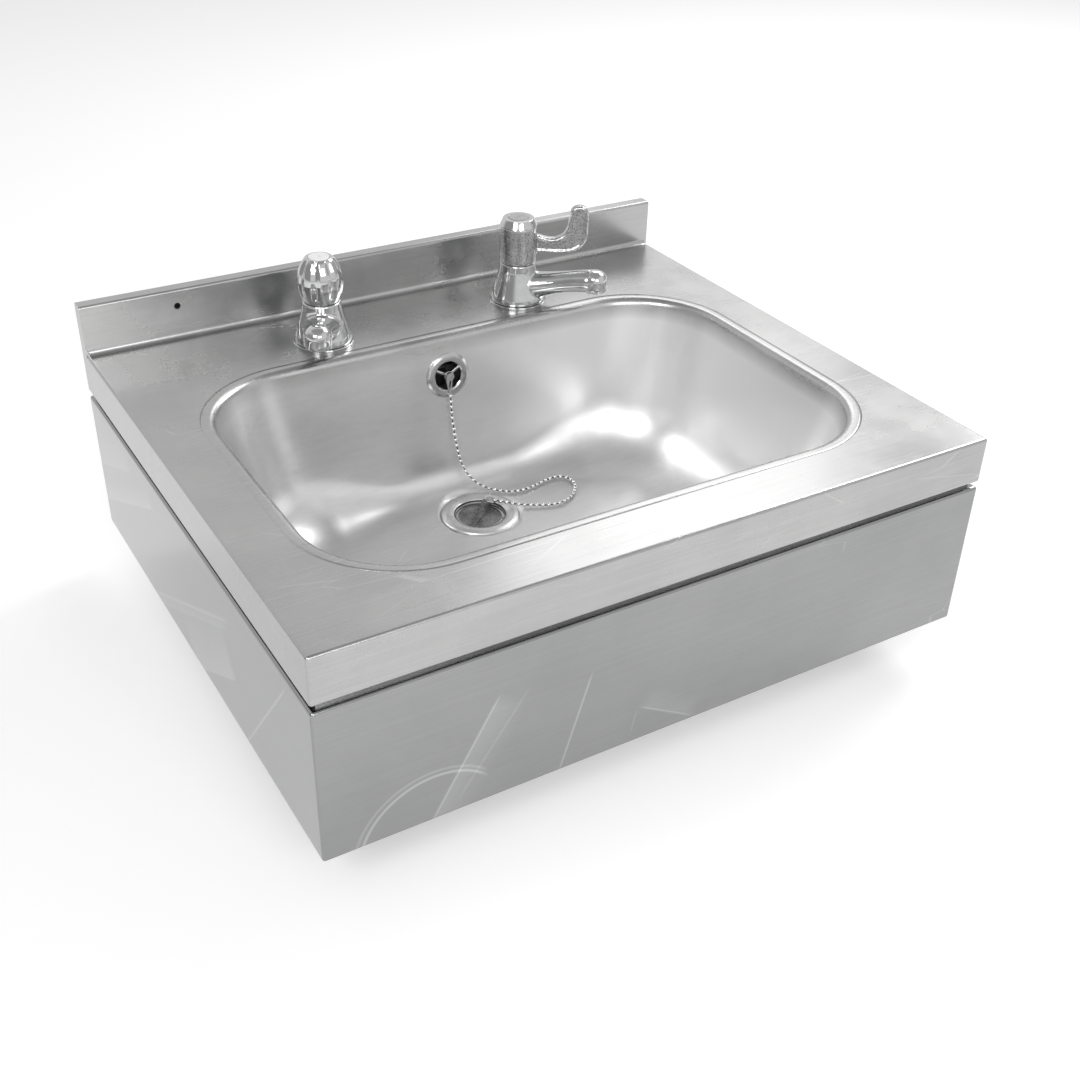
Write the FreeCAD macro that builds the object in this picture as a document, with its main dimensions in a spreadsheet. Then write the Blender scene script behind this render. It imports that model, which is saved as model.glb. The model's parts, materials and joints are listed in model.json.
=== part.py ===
import FreeCAD, Part
import math
import os
import re
import Sketcher

# A wall-hung stainless steel hand wash sink: a folded sheet top with a boxed upstand, a pressed
# bowl, a folded apron under a shadow gap, two pillar taps, a slotted waste with an overflow, and a
# rubber plug on a bead chain.  Millimetres.  +X right, +Y towards the wall, +Z up.  The origin is
# on the wall plane, at the middle of the sink's width, level with the top of the deck.

Vector = FreeCAD.Vector
Rotation = FreeCAD.Rotation

doc = FreeCAD.newDocument("HandWashSink")
sheet = doc.addObject("Spreadsheet::Sheet", "Sizes")

SIZES = [
    # The sheet metal
    ("sink_width", 600, "overall width of the deck"),
    ("sink_depth", 511, "wall to front face"),
    ("gauge", 1.2, "thickness of the sheet"),
    ("fold_radius", 2.6, "outside radius of the folds"),
    ("rim_height", 41, "height of the folded rim"),
    ("rim_return", 18, "width of the rim's inward return"),
    ("upstand_height", 46, "height of the upstand above the deck"),
    ("upstand_depth", 15, "thickness of the boxed upstand"),
    ("cove_radius", 5, "radius where the deck turns up"),
    ("wall_hole_spacing", 428, "distance between the two upstand holes"),
    ("wall_hole_height", 30.5, "height of the upstand holes above the deck"),
    ("wall_hole_radius", 3, "radius of the upstand and apron holes"),
    ("shadow_gap", 5, "gap between rim and apron"),
    ("apron_height", 135, "height of the apron"),
    ("apron_return", 22, "width of the apron's inward returns"),
    ("apron_hole_drop", 30, "apron wall holes, in from its top and bottom edges"),
    ("apron_hole_inset", 13, "apron wall holes, in from its side faces"),
    ("strip_inset", 6, "how far the spacer strip stands behind the front face"),
    ("strip_width", 11, "width of the spacer strip"),
    ("apron_screw_radius", 2.5, "radius of the apron screws"),
    ("apron_screw_hole", 2.7, "radius of the holes that the apron screws pass"),
    ("apron_screw_length", 13, "length of the apron screws under the head"),
    ("apron_screw_head", 4.6, "corner radius of the hexagon heads and nuts"),
    ("apron_screw_head_height", 3.5, "height of the hexagon heads and nuts"),
    ("front_screw_spacing", 400, "distance between the two front apron screws"),
    ("side_screw_front", 90, "first side screw, from the front face"),
    ("side_screw_back", 60, "second side screw, from the wall"),
    # The pressed bowl
    ("bowl_width", 492, "between the end walls, at the deck's level"),
    ("tap_ledge", 125, "wall to the bowl's back wall, at the deck's level"),
    ("bowl_front", 60, "front face to the front wall, at the deck's level"),
    ("bowl_margin", 12, "flat margin from the walls to the seam in the deck"),
    ("bowl_corner", 83, "radius of the upright corners"),
    ("bowl_depth", 156, "deck to the floor beside the waste"),
    ("rim_roll", 7, "radius of the rolled edge"),
    ("end_draft", 11, "slope of the end walls, degrees"),
    ("front_draft", 10, "slope of the front wall, degrees"),
    ("back_draft", 4, "slope of the back wall, degrees"),
    ("floor_fall", 1.5, "fall of the floor to the back, degrees"),
    ("floor_fold", 66, "radius between the floor and the front and end walls"),
    ("back_fold", 28, "radius between the floor and the back wall"),
    ("recess_radius", 40, "radius of the recess at its top"),
    ("recess_slope", 1.5, "how much narrower the recess is at its bottom"),
    ("recess_depth", 3, "depth of the recess"),
    # The waste
    ("waste_setback", 66, "bowl's back wall, at the deck's level, to the waste's axis"),
    ("waste_hole_radius", 25.5, "hole in the bowl's floor"),
    ("waste_tail_radius", 23.9, "one and a half inch pipe thread, major radius"),
    ("waste_bore_radius", 20.6, "bore of the tail"),
    ("waste_tail_length", 68, "flange underside to the end of the tail"),
    ("waste_trap_length", 25.8, "thread at the end of the tail, for the trap's nut"),
    ("relief_width", 1.2, "width of the grooves that end the backnuts' threads"),
    ("relief_depth", 0.6, "depth of the grooves that end the backnuts' threads"),
    ("waste_flange_radius", 37, "radius of the flange"),
    ("waste_flange_height", 2.4, "thickness of the flange"),
    ("waste_mouth_radius", 23.6, "mouth of the plug seat"),
    ("waste_seat_depth", 11, "depth of the tapered plug seat"),
    ("waste_slot_width", 14, "width of the overflow slots"),
    ("waste_slot_height", 16, "height of the overflow slots"),
    ("seal_height", 1.5, "thickness of the waste's top seal"),
    ("seal_radius", 34, "radius of the waste's top seal"),
    ("banjo_washer_height", 2, "thickness of the washers above and below the collar"),
    ("banjo_radius", 31, "radius of the overflow collar"),
    ("banjo_height", 24, "height of the overflow collar"),
    ("banjo_channel_radius", 28, "radius of the channel inside the collar"),
    ("banjo_spigot_length", 17, "length of the collar's spigot"),
    ("waste_nut_radius", 34, "corner radius of the waste's backnut"),
    ("waste_nut_height", 9, "height of the waste's backnut"),
    ("thread_gap", 0.15, "clearance of nuts and collars round a thread"),
    # The overflow
    ("overflow_drop", 39, "deck to the overflow's centre"),
    ("overflow_hole_radius", 17, "hole in the back wall"),
    ("rose_radius", 22, "radius of the overflow rose"),
    ("rose_opening_radius", 13.5, "radius of the opening in the rose"),
    ("rose_height", 2.6, "thickness of the rose"),
    ("rose_spoke_width", 2.6, "width of the rose's spokes"),
    ("rose_hub_radius", 4.6, "radius of the rose's hub"),
    ("rose_step", 3, "how far the rose's rim stands behind its face"),
    ("rose_screw_radius", 2, "radius of the overflow screw"),
    ("rose_screw_head_radius", 4, "radius of the overflow screw's head"),
    ("rose_screw_head_height", 2, "height of the overflow screw's head"),
    ("gasket_height", 2, "thickness of the overflow gasket"),
    ("elbow_flange_radius", 23, "radius of the elbow's flange"),
    ("elbow_flange_height", 3, "thickness of the elbow's flange"),
    ("elbow_radius", 17, "outside radius of the elbow's chamber"),
    ("elbow_depth", 24, "depth of the elbow's chamber behind its flange"),
    ("elbow_wall", 2.5, "wall of the elbow, the collar and their spigots"),
    ("spigot_radius", 9, "outside radius of the spigots"),
    ("elbow_spigot_length", 22, "spigot below the elbow's chamber"),
    ("hose_wall", 2, "wall of the overflow hose"),
    ("hose_bend_radius", 33, "bend radius of the overflow hose"),
    ("hose_overlap", 13, "how far the hose covers a spigot"),
    ("hose_clip_width", 8, "width of the hose clips"),
    ("hose_clip_height", 1, "thickness of the hose clips"),
    ("seat_gap", 0.1, "clearance between pushed-on pieces"),
    # The taps
    ("tap_spacing", 204, "distance between the tap axes"),
    ("tap_wall_distance", 81, "wall to the tap axes"),
    ("tap_hole_radius", 14, "holes in the deck"),
    ("left_spout_angle", -27, "left spout, degrees from straight forwards"),
    ("right_spout_angle", 43, "right spout, degrees from straight forwards"),
    ("base_washer_height", 1, "thickness of the tap base washers"),
    ("tap_base_radius", 26, "radius of the tap at its foot"),
    ("tap_neck_radius", 17.6, "radius of the tap's neck"),
    ("tap_height", 37, "height of the tap's body"),
    ("tap_base_edge", 4, "height of the undercut foot"),
    ("tap_tail_radius", 10.48, "half inch pipe thread, major radius"),
    ("tap_tail_length", 50, "length of the tail below the base"),
    ("tap_supply_length", 30.4, "thread at the end of the tail, for the supply pipe's nut"),
    ("tap_inlet_radius", 6.5, "bore of the tail"),
    ("tap_seat_height", 14, "height of the valve seat above the base"),
    ("tap_chamber_radius", 10.5, "radius of the valve chamber"),
    ("left_spout_reach", 57, "left tap's axis to its outlet's axis"),
    ("right_spout_reach", 77, "right tap's axis to its outlet's axis"),
    ("spout_start", 10, "tap axis to the spout's inner end"),
    ("spout_flare", 40, "tap axis to where the spout's flare ends"),
    ("spout_root_height", 16.5, "height of the spout's middle at its inner end"),
    ("spout_neck_height", 22.6, "height of the spout's middle where the flare ends"),
    ("spout_tip_height", 27.5, "height of the spout's middle at the nose"),
    ("spout_root_width", 33, "width of the spout at its inner end"),
    ("spout_root_thickness", 25, "height of the spout at its inner end"),
    ("spout_width", 22.8, "width of the spout beyond the flare"),
    ("spout_thickness", 18, "height of the spout beyond the flare"),
    ("nose_radius", 11.8, "radius of the spout's nose"),
    ("nose_height", 38, "top of the nose above the base"),
    ("outlet_height", 19, "height of the outlet above the base"),
    ("outlet_radius", 8, "bore of the outlet"),
    ("spout_bore_radius", 5, "bore of the spout"),
    ("spacer_radius", 19, "radius of the spacers under the deck"),
    ("spacer_height", 8, "height of the spacers under the deck"),
    ("tap_nut_radius", 18, "corner radius of the tap backnuts"),
    ("tap_nut_height", 7, "height of the tap backnuts"),
    # The valve gear of both taps
    ("gear_thread_depth", 14, "how deep the valve gear screws into the body"),
    ("gear_thread_radius", 10.35, "radius of the valve gear's thread"),
    ("gear_hex_radius", 12.6, "corner radius of the valve gear's hexagon"),
    ("gear_hex_height", 6, "height of the valve gear's hexagon"),
    ("gear_boss_radius", 8, "radius of the boss above the hexagon"),
    ("gear_boss_height", 9, "height of the boss above the hexagon"),
    ("stem_radius", 4, "radius of the spindles"),
    ("stem_gap", 0.08, "running clearance of the spindles"),
    ("stem_height", 67, "top of the spindles above the tap's base"),
    ("screw_radius", 2, "radius of the handle screws"),
    ("handle_screw_length", 10, "length of the handle screws under the head"),
    ("handle_screw_head_radius", 3.6, "radius of the handle screws' heads"),
    ("handle_screw_head_height", 2.2, "height of the handle screws' heads"),
    ("jumper_radius", 7.3, "radius of the jumper"),
    ("jumper_plate", 2.5, "thickness of the jumper's plate"),
    ("jumper_sleeve", 10, "length of the jumper's sleeve"),
    ("drive_radius", 5, "radius of the spindle's drive thread"),
    ("drive_gap", 0.1, "clearance between drive thread and jumper"),
    ("guide_gap", 0.2, "clearance between jumper and headgear"),
    ("valve_washer_radius", 8.6, "radius of the valve washer"),
    ("valve_washer_height", 3, "thickness of the valve washer"),
    ("valve_lift", 5, "how far the jumper rises"),
    ("disc_radius", 8.6, "radius of the ceramic discs"),
    ("disc_height", 2.8, "thickness of the ceramic discs"),
    ("disc_port_radius", 5.8, "radius of the half-moon ports in the discs"),
    ("disc_gap", 0.03, "gap between the lapped discs"),
    ("seat_seal_height", 2.5, "height of the cartridge's seat seal"),
    ("seat_seal_radius", 9.6, "radius of the cartridge's seat seal"),
    # The left knob
    ("knob_gap", 1.5, "gap between the tap's neck and its handle"),
    ("knob_height", 40.5, "height of the knob"),
    ("knob_bottom_radius", 16.6, "radius of the knob's lower rim"),
    ("knob_radius", 20.6, "radius of the knob at its widest"),
    ("knob_wide_height", 17, "height of the knob's widest ring"),
    ("knob_top_radius", 11.4, "radius of the knob's top"),
    ("knob_flutes", 8, "number of flutes"),
    ("flute_radius", 9, "radius of the flutes"),
    ("flute_depth", 1.4, "depth of the flutes at the widest ring"),
    ("knob_skirt_radius", 13.4, "radius of the hollow under the knob"),
    ("knob_skirt_depth", 18, "depth of the hollow under the knob"),
    ("index_radius", 9.6, "radius of the index discs"),
    ("index_height", 1.8, "thickness of the index discs"),
    ("index_proud", 0.5, "how far the index discs stand proud"),
    ("index_well_depth", 5, "depth of the well that holds screw and disc"),
    # The right lever
    ("hub_radius", 17.8, "radius of the lever's hub"),
    ("hub_height", 43, "height of the lever's hub"),
    ("hub_top_radius", 14.6, "radius of the hub's bevelled top"),
    ("hub_bevel_height", 7, "height of the hub's bevel"),
    ("hub_skirt_radius", 13.6, "radius of the hollow under the hub"),
    ("hub_skirt_depth", 18, "depth of the hollow under the hub"),
    ("lever_angle", -25, "lever at rest, degrees from straight right"),
    ("lever_thickness", 9, "thickness of the blade"),
    ("lever_reach", 68, "tap's axis to the blade's outer edge"),
    ("lever_rise", 54, "foot of the hub to the blade's tip"),
    # The plug and its chain
    ("plug_radius", 24.4, "radius of the plug's top"),
    ("plug_head_height", 2.4, "height of the plug's head"),
    ("plug_taper_height", 10, "height of the plug's tapered body"),
    ("plug_foot_radius", 19.6, "radius of the plug's foot"),
    ("plug_taper_top", 22.2, "radius of the tapered body under the head"),
    ("plug_rib_width", 5, "width of the finger rib"),
    ("plug_rib_length", 40, "length of the finger rib"),
    ("plug_rib_height", 1.7, "height of the finger rib"),
    ("plug_rib_angle", 42, "direction of the finger rib, degrees from +X"),
    ("lug_offset", 15.5, "plug's axis to the eye lug"),
    ("lug_length", 6, "length of the eye lug"),
    ("lug_thickness", 2.4, "thickness of the eye lug"),
    ("lug_height", 6, "height of the eye lug"),
    ("lug_eye_height", 3.8, "height of the eye above the head"),
    ("lug_eye_radius", 1.3, "radius of the eye"),
    ("plug_ring_radius", 4.6, "radius of the plug's wire ring"),
    ("plug_ring_angle", -40, "direction in which the ring lies, degrees from +X"),
    ("ring_wire_radius", 0.7, "radius of the ring's wire"),
    ("stay_wire_radius", 0.7, "radius of the chain stay's wire"),
    ("stay_drop", 19, "hub to the foot of the chain stay"),
    ("stay_width", 8, "width of the chain stay at its top"),
    ("chain_radius", 1.6, "radius of the bead chain"),
]

for row, (alias, number, meaning) in enumerate(SIZES, 1):
    sheet.set(f"A{row}", meaning)
    sheet.set(f"B{row}", str(number))
    sheet.setAlias(f"B{row}", alias)
doc.recompute()

ALIASES = {alias for alias, number, meaning in SIZES}
WORDS = re.compile(r"[a-z_]+")


def formula(text):
    """A size or a sum of sizes, written with the sheet's own names."""
    return WORDS.sub(lambda word: "Sizes." + word[0] if word[0] in ALIASES else word[0], str(text))


def size(alias):
    return float(sheet.get(alias))


# Sizes that the code below uses as numbers, under the names that they have in the sheet.
S = {alias: size(alias) for alias, number, meaning in SIZES}


def number(text):
    """The value of a size or a sum of sizes."""
    total = sheet.evalExpression(WORDS.sub(lambda word: word[0], str(text)))
    return float(total)


parts = []


def named(label, thing):
    """Marks a finished sub-part, which is exported under its label."""
    thing.Label = label
    parts.append(thing)
    return thing


def bind(thing, **sizes):
    for name, text in sizes.items():
        thing.setExpression(name.replace("__", "."), formula(text))
    return thing


def at(thing, x=0, y=0, z=0):
    return bind(thing, Placement__Base__x=x, Placement__Base__y=y, Placement__Base__z=z)


def box(name, length, width, height, x, y, z):
    """A block given by its sides and its lowest corner."""
    block = doc.addObject("Part::Box", name)
    bind(block, Length=length, Width=width, Height=height)
    return at(block, x, y, z)


def rod(name, radius, height, x=0, y=0, z=0, along=None):
    """A cylinder from a point, upright unless it is turned along an axis."""
    bar = doc.addObject("Part::Cylinder", name)
    bind(bar, Radius=radius, Height=height)
    if along is not None:
        bar.Placement = FreeCAD.Placement(Vector(), Rotation(Vector(0, 0, 1), along))
    return at(bar, x, y, z)


def hexagon(name, radius, height, x=0, y=0, z=0):
    prism = doc.addObject("Part::Prism", name)
    prism.Polygon = 6
    bind(prism, Circumradius=radius, Height=height)
    return at(prism, x, y, z)


def join(name, *pieces):
    fused = doc.addObject("Part::MultiFuse", name)
    fused.Shapes = list(pieces)
    fused.Refine = True
    return fused


def cut(name, base, *tools):
    """The base without the tools."""
    tool = tools[0] if len(tools) == 1 else join(name + "_cutters", *tools)
    left = doc.addObject("Part::Cut", name)
    left.Base = base
    left.Tool = tool
    left.Refine = True
    return left


def group(name, pieces):
    """Separate identical solids that share one sub-part."""
    together = doc.addObject("Part::Compound", name)
    together.Links = pieces
    return together


def rounded(name, base, radius, chosen):
    """Rounds the edges that the test chooses."""
    doc.recompute()
    fillet = doc.addObject("Part::Fillet", name)
    fillet.Base = base
    edges = base.Shape.Edges
    fillet.Edges = [(i, radius, radius) for i, edge in enumerate(edges, 1) if chosen(edge)]
    return fillet


def solid(name, shape):
    """A free form, computed from the sheet's sizes."""
    feature = doc.addObject("Part::Feature", name)
    feature.Shape = shape
    return feature


def plane(body, role):
    return next(item for item in body.Origin.OriginFeatures if item.Role == role)


def turned(label, outline):
    """A body turned about its own Z axis from an outline of (radius, height) sizes, none below zero."""
    body = doc.addObject("PartDesign::Body", label)
    sketch = body.newObject("Sketcher::SketchObject", label + "_outline")
    sketch.AttachmentSupport = (plane(body, "XZ_Plane"), [""])
    sketch.MapMode = "FlatFace"
    corners = [(number(radius), number(height)) for radius, height in outline]
    count = len(corners)
    for i, (radius, height) in enumerate(corners):
        end = corners[(i + 1) % count]
        sketch.addGeometry(Part.LineSegment(Vector(radius, height, 0), Vector(end[0], end[1], 0)))
    for i in range(count):
        sketch.addConstraint(Sketcher.Constraint("Coincident", i, 2, (i + 1) % count, 1))
    for i, place in enumerate(corners):
        for kind, axis, value, text in zip(("DistanceX", "DistanceY"), (-2, -1), place, outline[i]):
            if value == 0:
                sketch.addConstraint(Sketcher.Constraint("PointOnObject", i, 1, axis))
            else:
                tie = sketch.addConstraint(Sketcher.Constraint(kind, -1, 1, i, 1, value))
                sketch.setExpression(f"Constraints[{tie}]", formula(text))
    turn = body.newObject("PartDesign::Revolution", label + "_turn")
    turn.Profile = sketch
    turn.ReferenceAxis = (sketch, ["V_Axis"])
    turn.Angle = 360
    return body


def ring(name, outer, inner, height, x=0, y=0, z=0):
    """A washer, tube or collar standing on a point."""
    blank = rod(name + "_blank", outer, height, x, y, z)
    hole = rod(name + "_hole", inner, height, x, y, z)
    return cut(name, blank, hole)


# ---------------------------------------------------------------------------------------------
# Sheet metal: the top, the apron and what joins them
# ---------------------------------------------------------------------------------------------

ALONG_Y = Vector(0, 1, 0)
HALF = "sink_width / 2"
INNER_RADIUS = S["fold_radius"] - S["gauge"]


def folds(rear):
    """Chooses the folds of a tray: every edge but those in its rear plane."""
    return lambda edge: edge.BoundBox.YMax < rear - 0.01 or edge.BoundBox.YLength > 1


BACK_WALL = "-tap_ledge"
FRONT_WALL = "-sink_depth + bowl_front"
WASTE_Y = "-(tap_ledge + waste_setback)"
BACK_SLOPE = "(back_draft - floor_fall)"
FRONT_SLOPE = "(front_draft + floor_fall)"
FLOOR_BACK = "waste_setback - bowl_depth * tan(back_draft)"
FLOOR_TURN = Rotation(Vector(1, 0, 0), -90 - S["floor_fall"])


def bowl_form(name, skin):
    """The bowl's hollow: a drafted block with rounded corners and a folded floor.

    The block's own Y points down, square to the floor, from zero where the floor meets the
    waste's axis, and its Z points to the wall.  The skin moves every face outwards.
    """
    above = "(bowl_depth + 20)"
    side = "bowl_width / 2 - bowl_depth * tan(end_draft)"
    back = FLOOR_BACK
    front = f"{FRONT_WALL} + bowl_depth * tan(front_draft) + tap_ledge + waste_setback"
    out = {slope: f"{skin} / cos({slope})" for slope in ("end_draft", BACK_SLOPE, FRONT_SLOPE)}
    low = {slope: f"{out[slope]} - {skin} * tan({slope})" for slope in out}
    block = doc.addObject("Part::Wedge", name + "_block")
    bind(
        block,
        Ymin=f"-{above}", Ymax=skin,
        Xmin=f"-({side} + {above} * tan(end_draft) + {out['end_draft']})",
        Xmax=f"{side} + {above} * tan(end_draft) + {out['end_draft']}",
        Zmin=f"{front} - {above} * tan({FRONT_SLOPE}) - {out[FRONT_SLOPE]}",
        Zmax=f"{back} + {above} * tan({BACK_SLOPE}) + {out[BACK_SLOPE]}",
        X2min=f"-({side} + {low['end_draft']})",
        X2max=f"{side} + {low['end_draft']}",
        Z2min=f"{front} - {low[FRONT_SLOPE]}",
        Z2max=f"{back} + {low[BACK_SLOPE]}",
    )
    block.Placement.Rotation = FLOOR_TURN
    at(block, 0, WASTE_Y, "-bowl_depth")
    thick = number(skin)
    corners = rounded(name + "_corners", block, S["bowl_corner"] + thick, upright)
    doc.recompute()
    down = block.Placement.Rotation.multVec(Vector(0, 1, 0))
    floor = block.Placement.multVec(Vector(0, thick, 0))
    rear = number(FLOOR_BACK) + number(WASTE_Y)

    def fold(point):
        return (S["back_fold"] if point.y > rear - 5 else S["floor_fold"]) + thick

    folded = doc.addObject("Part::Fillet", name)
    folded.Base = corners
    chosen = []
    for i, edge in enumerate(corners.Shape.Edges, 1):
        ends = [edge.valueAt(edge.FirstParameter), edge.valueAt(edge.LastParameter)]
        if all(abs((end - floor).dot(down)) < 0.01 for end in ends):
            chosen.append((i, fold(ends[0]), fold(ends[1])))
    folded.Edges = chosen
    return folded


def upright(edge):
    """Chooses edges that stand, straight up or with a wall's slope."""
    first, last = edge.valueAt(edge.FirstParameter), edge.valueAt(edge.LastParameter)
    return abs(last.z - first.z) > 0.9 * edge.Length


def seam(name, top, foot):
    """Rounded rectangle where the bowl is welded into the deck, as an upright prism."""
    prism = box(name + "_block", "bowl_width + bowl_margin * 2",
                "sink_depth - bowl_front - tap_ledge + bowl_margin * 2",
                f"{top} - ({foot})", "-bowl_width / 2 - bowl_margin",
                f"{FRONT_WALL} - bowl_margin", foot)
    return rounded(name, prism, S["bowl_corner"] + S["bowl_margin"], upright)


def bowl_skin(name, skin):
    """All that lies outside one face of the bowl's sheet, down to below its floor."""
    thick = number(skin)
    foot = f"{RECESS_FLOOR} - {skin}"
    recess = doc.addObject("Part::Cone", name + "_recess")
    bind(recess, Radius1=f"recess_radius - recess_slope + {skin}",
         Radius2=f"recess_radius + recess_slope * 2 + {skin}", Height="recess_depth * 3")
    at(recess, 0, WASTE_Y, foot)
    mass = seam(name + "_seam", f"-({skin})", "-bowl_depth - 12")
    pressed = cut(name + "_pressed", mass, bowl_form(name + "_form", skin), recess)
    half = S["bowl_width"] / 2 + S["bowl_margin"] - 1
    level = -thick

    def lip(edge):
        bounds = edge.BoundBox
        inside = bounds.XMax < half and bounds.XMin > -half
        inside = inside and bounds.YMax < number(BACK_WALL) + S["bowl_margin"] - 1
        inside = inside and bounds.YMin > number(FRONT_WALL) - S["bowl_margin"] + 1
        return inside and abs(bounds.ZMin - level) < 0.01 and abs(bounds.ZMax - level) < 0.01

    return rounded(name, pressed, S["rim_roll"] - thick, lip)


def bowl():
    """Pressed bowl of one sheet, a gauge thick between its two faces, holed for both wastes."""
    sheet_form = cut("bowl_sheet", bowl_skin("bowl_inside", "0"), bowl_skin("bowl_outside", "gauge"))
    drain = rod("waste_hole", "waste_hole_radius", 20, 0, WASTE_Y, f"{RECESS_FLOOR} - 10")
    hole = doc.addObject("Part::Cylinder", "overflow_hole")
    bind(hole, Radius="overflow_hole_radius", Height=30)
    hole.Placement = FreeCAD.Placement(OVERFLOW - OVERFLOW_AXIS * 20, ROSE_TURN)
    return cut("bowl", sheet_form, drain, hole)


# The overflow's centre, on the bowl's inside face, and its axis, which points out of the wall.
BACK_LEAN = math.radians(S["back_draft"])
WALL_FOOT = Vector(0, number(WASTE_Y), -S["bowl_depth"])
WALL_FOOT += FLOOR_TURN.multVec(Vector(0, 0, number(FLOOR_BACK)))
OVERFLOW = Vector(
    0,
    WALL_FOOT.y + (-S["overflow_drop"] - WALL_FOOT.z) * math.tan(BACK_LEAN),
    -S["overflow_drop"],
)
OVERFLOW_AXIS = Vector(0, -math.cos(BACK_LEAN), math.sin(BACK_LEAN))
ROSE_TURN = Rotation(Vector(1, 0, 0), 90 - S["back_draft"])


def sink_top():
    """Deck, folded rim with its return, and the boxed upstand, all one sheet."""
    deck = box("top_block", "sink_width", "sink_depth", "rim_height", f"-{HALF}", "-sink_depth",
               "-rim_height")
    deck = rounded("top_folds", deck, S["fold_radius"], folds(0))
    upstand = box("upstand_block", "sink_width", "upstand_depth", "upstand_height + fold_radius * 2",
                  f"-{HALF}", "-upstand_depth", "-fold_radius * 2")
    upstand = rounded(
        "upstand_folds", upstand, S["fold_radius"],
        lambda edge: edge.BoundBox.ZMin > S["upstand_height"] - 0.01 and edge.BoundBox.XLength > 1,
    )
    cove = box("cove_block", "sink_width - fold_radius * 2", "cove_radius", "cove_radius",
               f"-{HALF} + fold_radius", "-upstand_depth - cove_radius", 0)
    scoop = rod("cove_scoop", "cove_radius", "sink_width", f"-{HALF}",
                "-upstand_depth - cove_radius", "cove_radius", Vector(1, 0, 0))
    outside = join("top_outside", deck, upstand, cut("cove", cove, scoop))

    hollow = box("top_hollow", "sink_width - gauge * 2", "sink_depth - gauge * 2",
                 "rim_height - gauge * 2", f"-{HALF} + gauge", "-sink_depth + gauge",
                 "-rim_height + gauge")
    hollow = rounded("top_hollow_folds", hollow, INNER_RADIUS, folds(-S["gauge"]))
    box_hollow = box("upstand_hollow", "sink_width - gauge * 2", "upstand_depth - gauge * 2",
                     "upstand_height + gauge * 4", f"-{HALF} + gauge", "-upstand_depth + gauge",
                     "-gauge * 5")
    window = box("top_window", "sink_width - rim_return * 2", "sink_depth - rim_return - gauge",
                 "gauge * 3", f"-{HALF} + rim_return", "-sink_depth + rim_return",
                 "-rim_height - gauge")
    bowl_hole = seam("bowl_opening", "10", "-10")
    holes = []
    for side, sign in (("left", "-"), ("right", "")):
        holes.append(rod(f"{side}_tap_hole", "tap_hole_radius", 20, f"{sign}tap_spacing / 2",
                         "-tap_wall_distance", -10))
        holes.append(rod(f"{side}_wall_hole", "wall_hole_radius", "upstand_depth + 2",
                         f"{sign}wall_hole_spacing / 2", "-upstand_depth - 1", "wall_hole_height",
                         ALONG_Y))
    for i, (x, y) in enumerate(APRON_SCREWS):
        holes.append(rod(f"rim_screw_hole_{i}", "apron_screw_hole", "gauge * 3", x, y,
                         "-rim_height - gauge"))
    return cut("sink_top", outside, hollow, box_hollow, window, bowl_hole, *holes)


STRIP_MIDDLE = "strip_inset + strip_width / 2"
APRON_SCREWS = [
    ("-front_screw_spacing / 2", f"-sink_depth + {STRIP_MIDDLE}"),
    ("front_screw_spacing / 2", f"-sink_depth + {STRIP_MIDDLE}"),
    (f"-{HALF} + {STRIP_MIDDLE}", "-sink_depth + side_screw_front"),
    (f"{HALF} - ({STRIP_MIDDLE})", "-sink_depth + side_screw_front"),
    (f"-{HALF} + {STRIP_MIDDLE}", "-side_screw_back"),
    (f"{HALF} - ({STRIP_MIDDLE})", "-side_screw_back"),
]
APRON_TOP = "-rim_height - shadow_gap"
APRON_FOOT = f"{APRON_TOP} - apron_height"


def apron():
    """Front and side panels in one folded sheet, with returns at top, bottom and wall."""
    block = box("apron_block", "sink_width", "sink_depth", "apron_height", f"-{HALF}",
                "-sink_depth", APRON_FOOT)
    block = rounded("apron_folds", block, S["fold_radius"], folds(0))
    hollow = box("apron_hollow", "sink_width - gauge * 2", "sink_depth - gauge * 2",
                 "apron_height - gauge * 2", f"-{HALF} + gauge", "-sink_depth + gauge",
                 f"{APRON_FOOT} + gauge")
    hollow = rounded("apron_hollow_folds", hollow, INNER_RADIUS, folds(-S["gauge"]))
    through = box("apron_window", "sink_width - apron_return * 2", "sink_depth",
                  "apron_height + 2", f"-{HALF} + apron_return", "-sink_depth + apron_return",
                  f"{APRON_FOOT} - 1")
    holes = []
    for side, x in (("left", f"-{HALF} + apron_hole_inset"), ("right", f"{HALF} - apron_hole_inset")):
        for level, z in (("upper", f"{APRON_TOP} - apron_hole_drop"),
                         ("lower", f"{APRON_FOOT} + apron_hole_drop")):
            holes.append(rod(f"apron_{side}_{level}_hole", "wall_hole_radius", "gauge * 3", x,
                             "-gauge * 2", z, ALONG_Y))
    for i, (x, y) in enumerate(APRON_SCREWS):
        holes.append(rod(f"apron_screw_hole_{i}", "apron_screw_hole", "gauge * 3", x, y,
                         f"{APRON_TOP} - gauge * 2"))
    return cut("apron", block, hollow, through, *holes)


def spacer_strip():
    """The bar that holds the shadow gap, set back behind the faces on three sides."""
    outer = box("strip_outer", "sink_width - strip_inset * 2", "sink_depth - strip_inset - gauge",
                "shadow_gap", f"-{HALF} + strip_inset", "-sink_depth + strip_inset", APRON_TOP)
    inner = box("strip_inner", "sink_width - (strip_inset + strip_width) * 2", "sink_depth",
                "shadow_gap", f"-{HALF} + strip_inset + strip_width",
                "-sink_depth + strip_inset + strip_width", APRON_TOP)
    holes = [rod(f"strip_hole_{i}", "apron_screw_hole", "shadow_gap", x, y, APRON_TOP)
             for i, (x, y) in enumerate(APRON_SCREWS)]
    return cut("spacer_strip", outer, inner, *holes)


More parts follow.
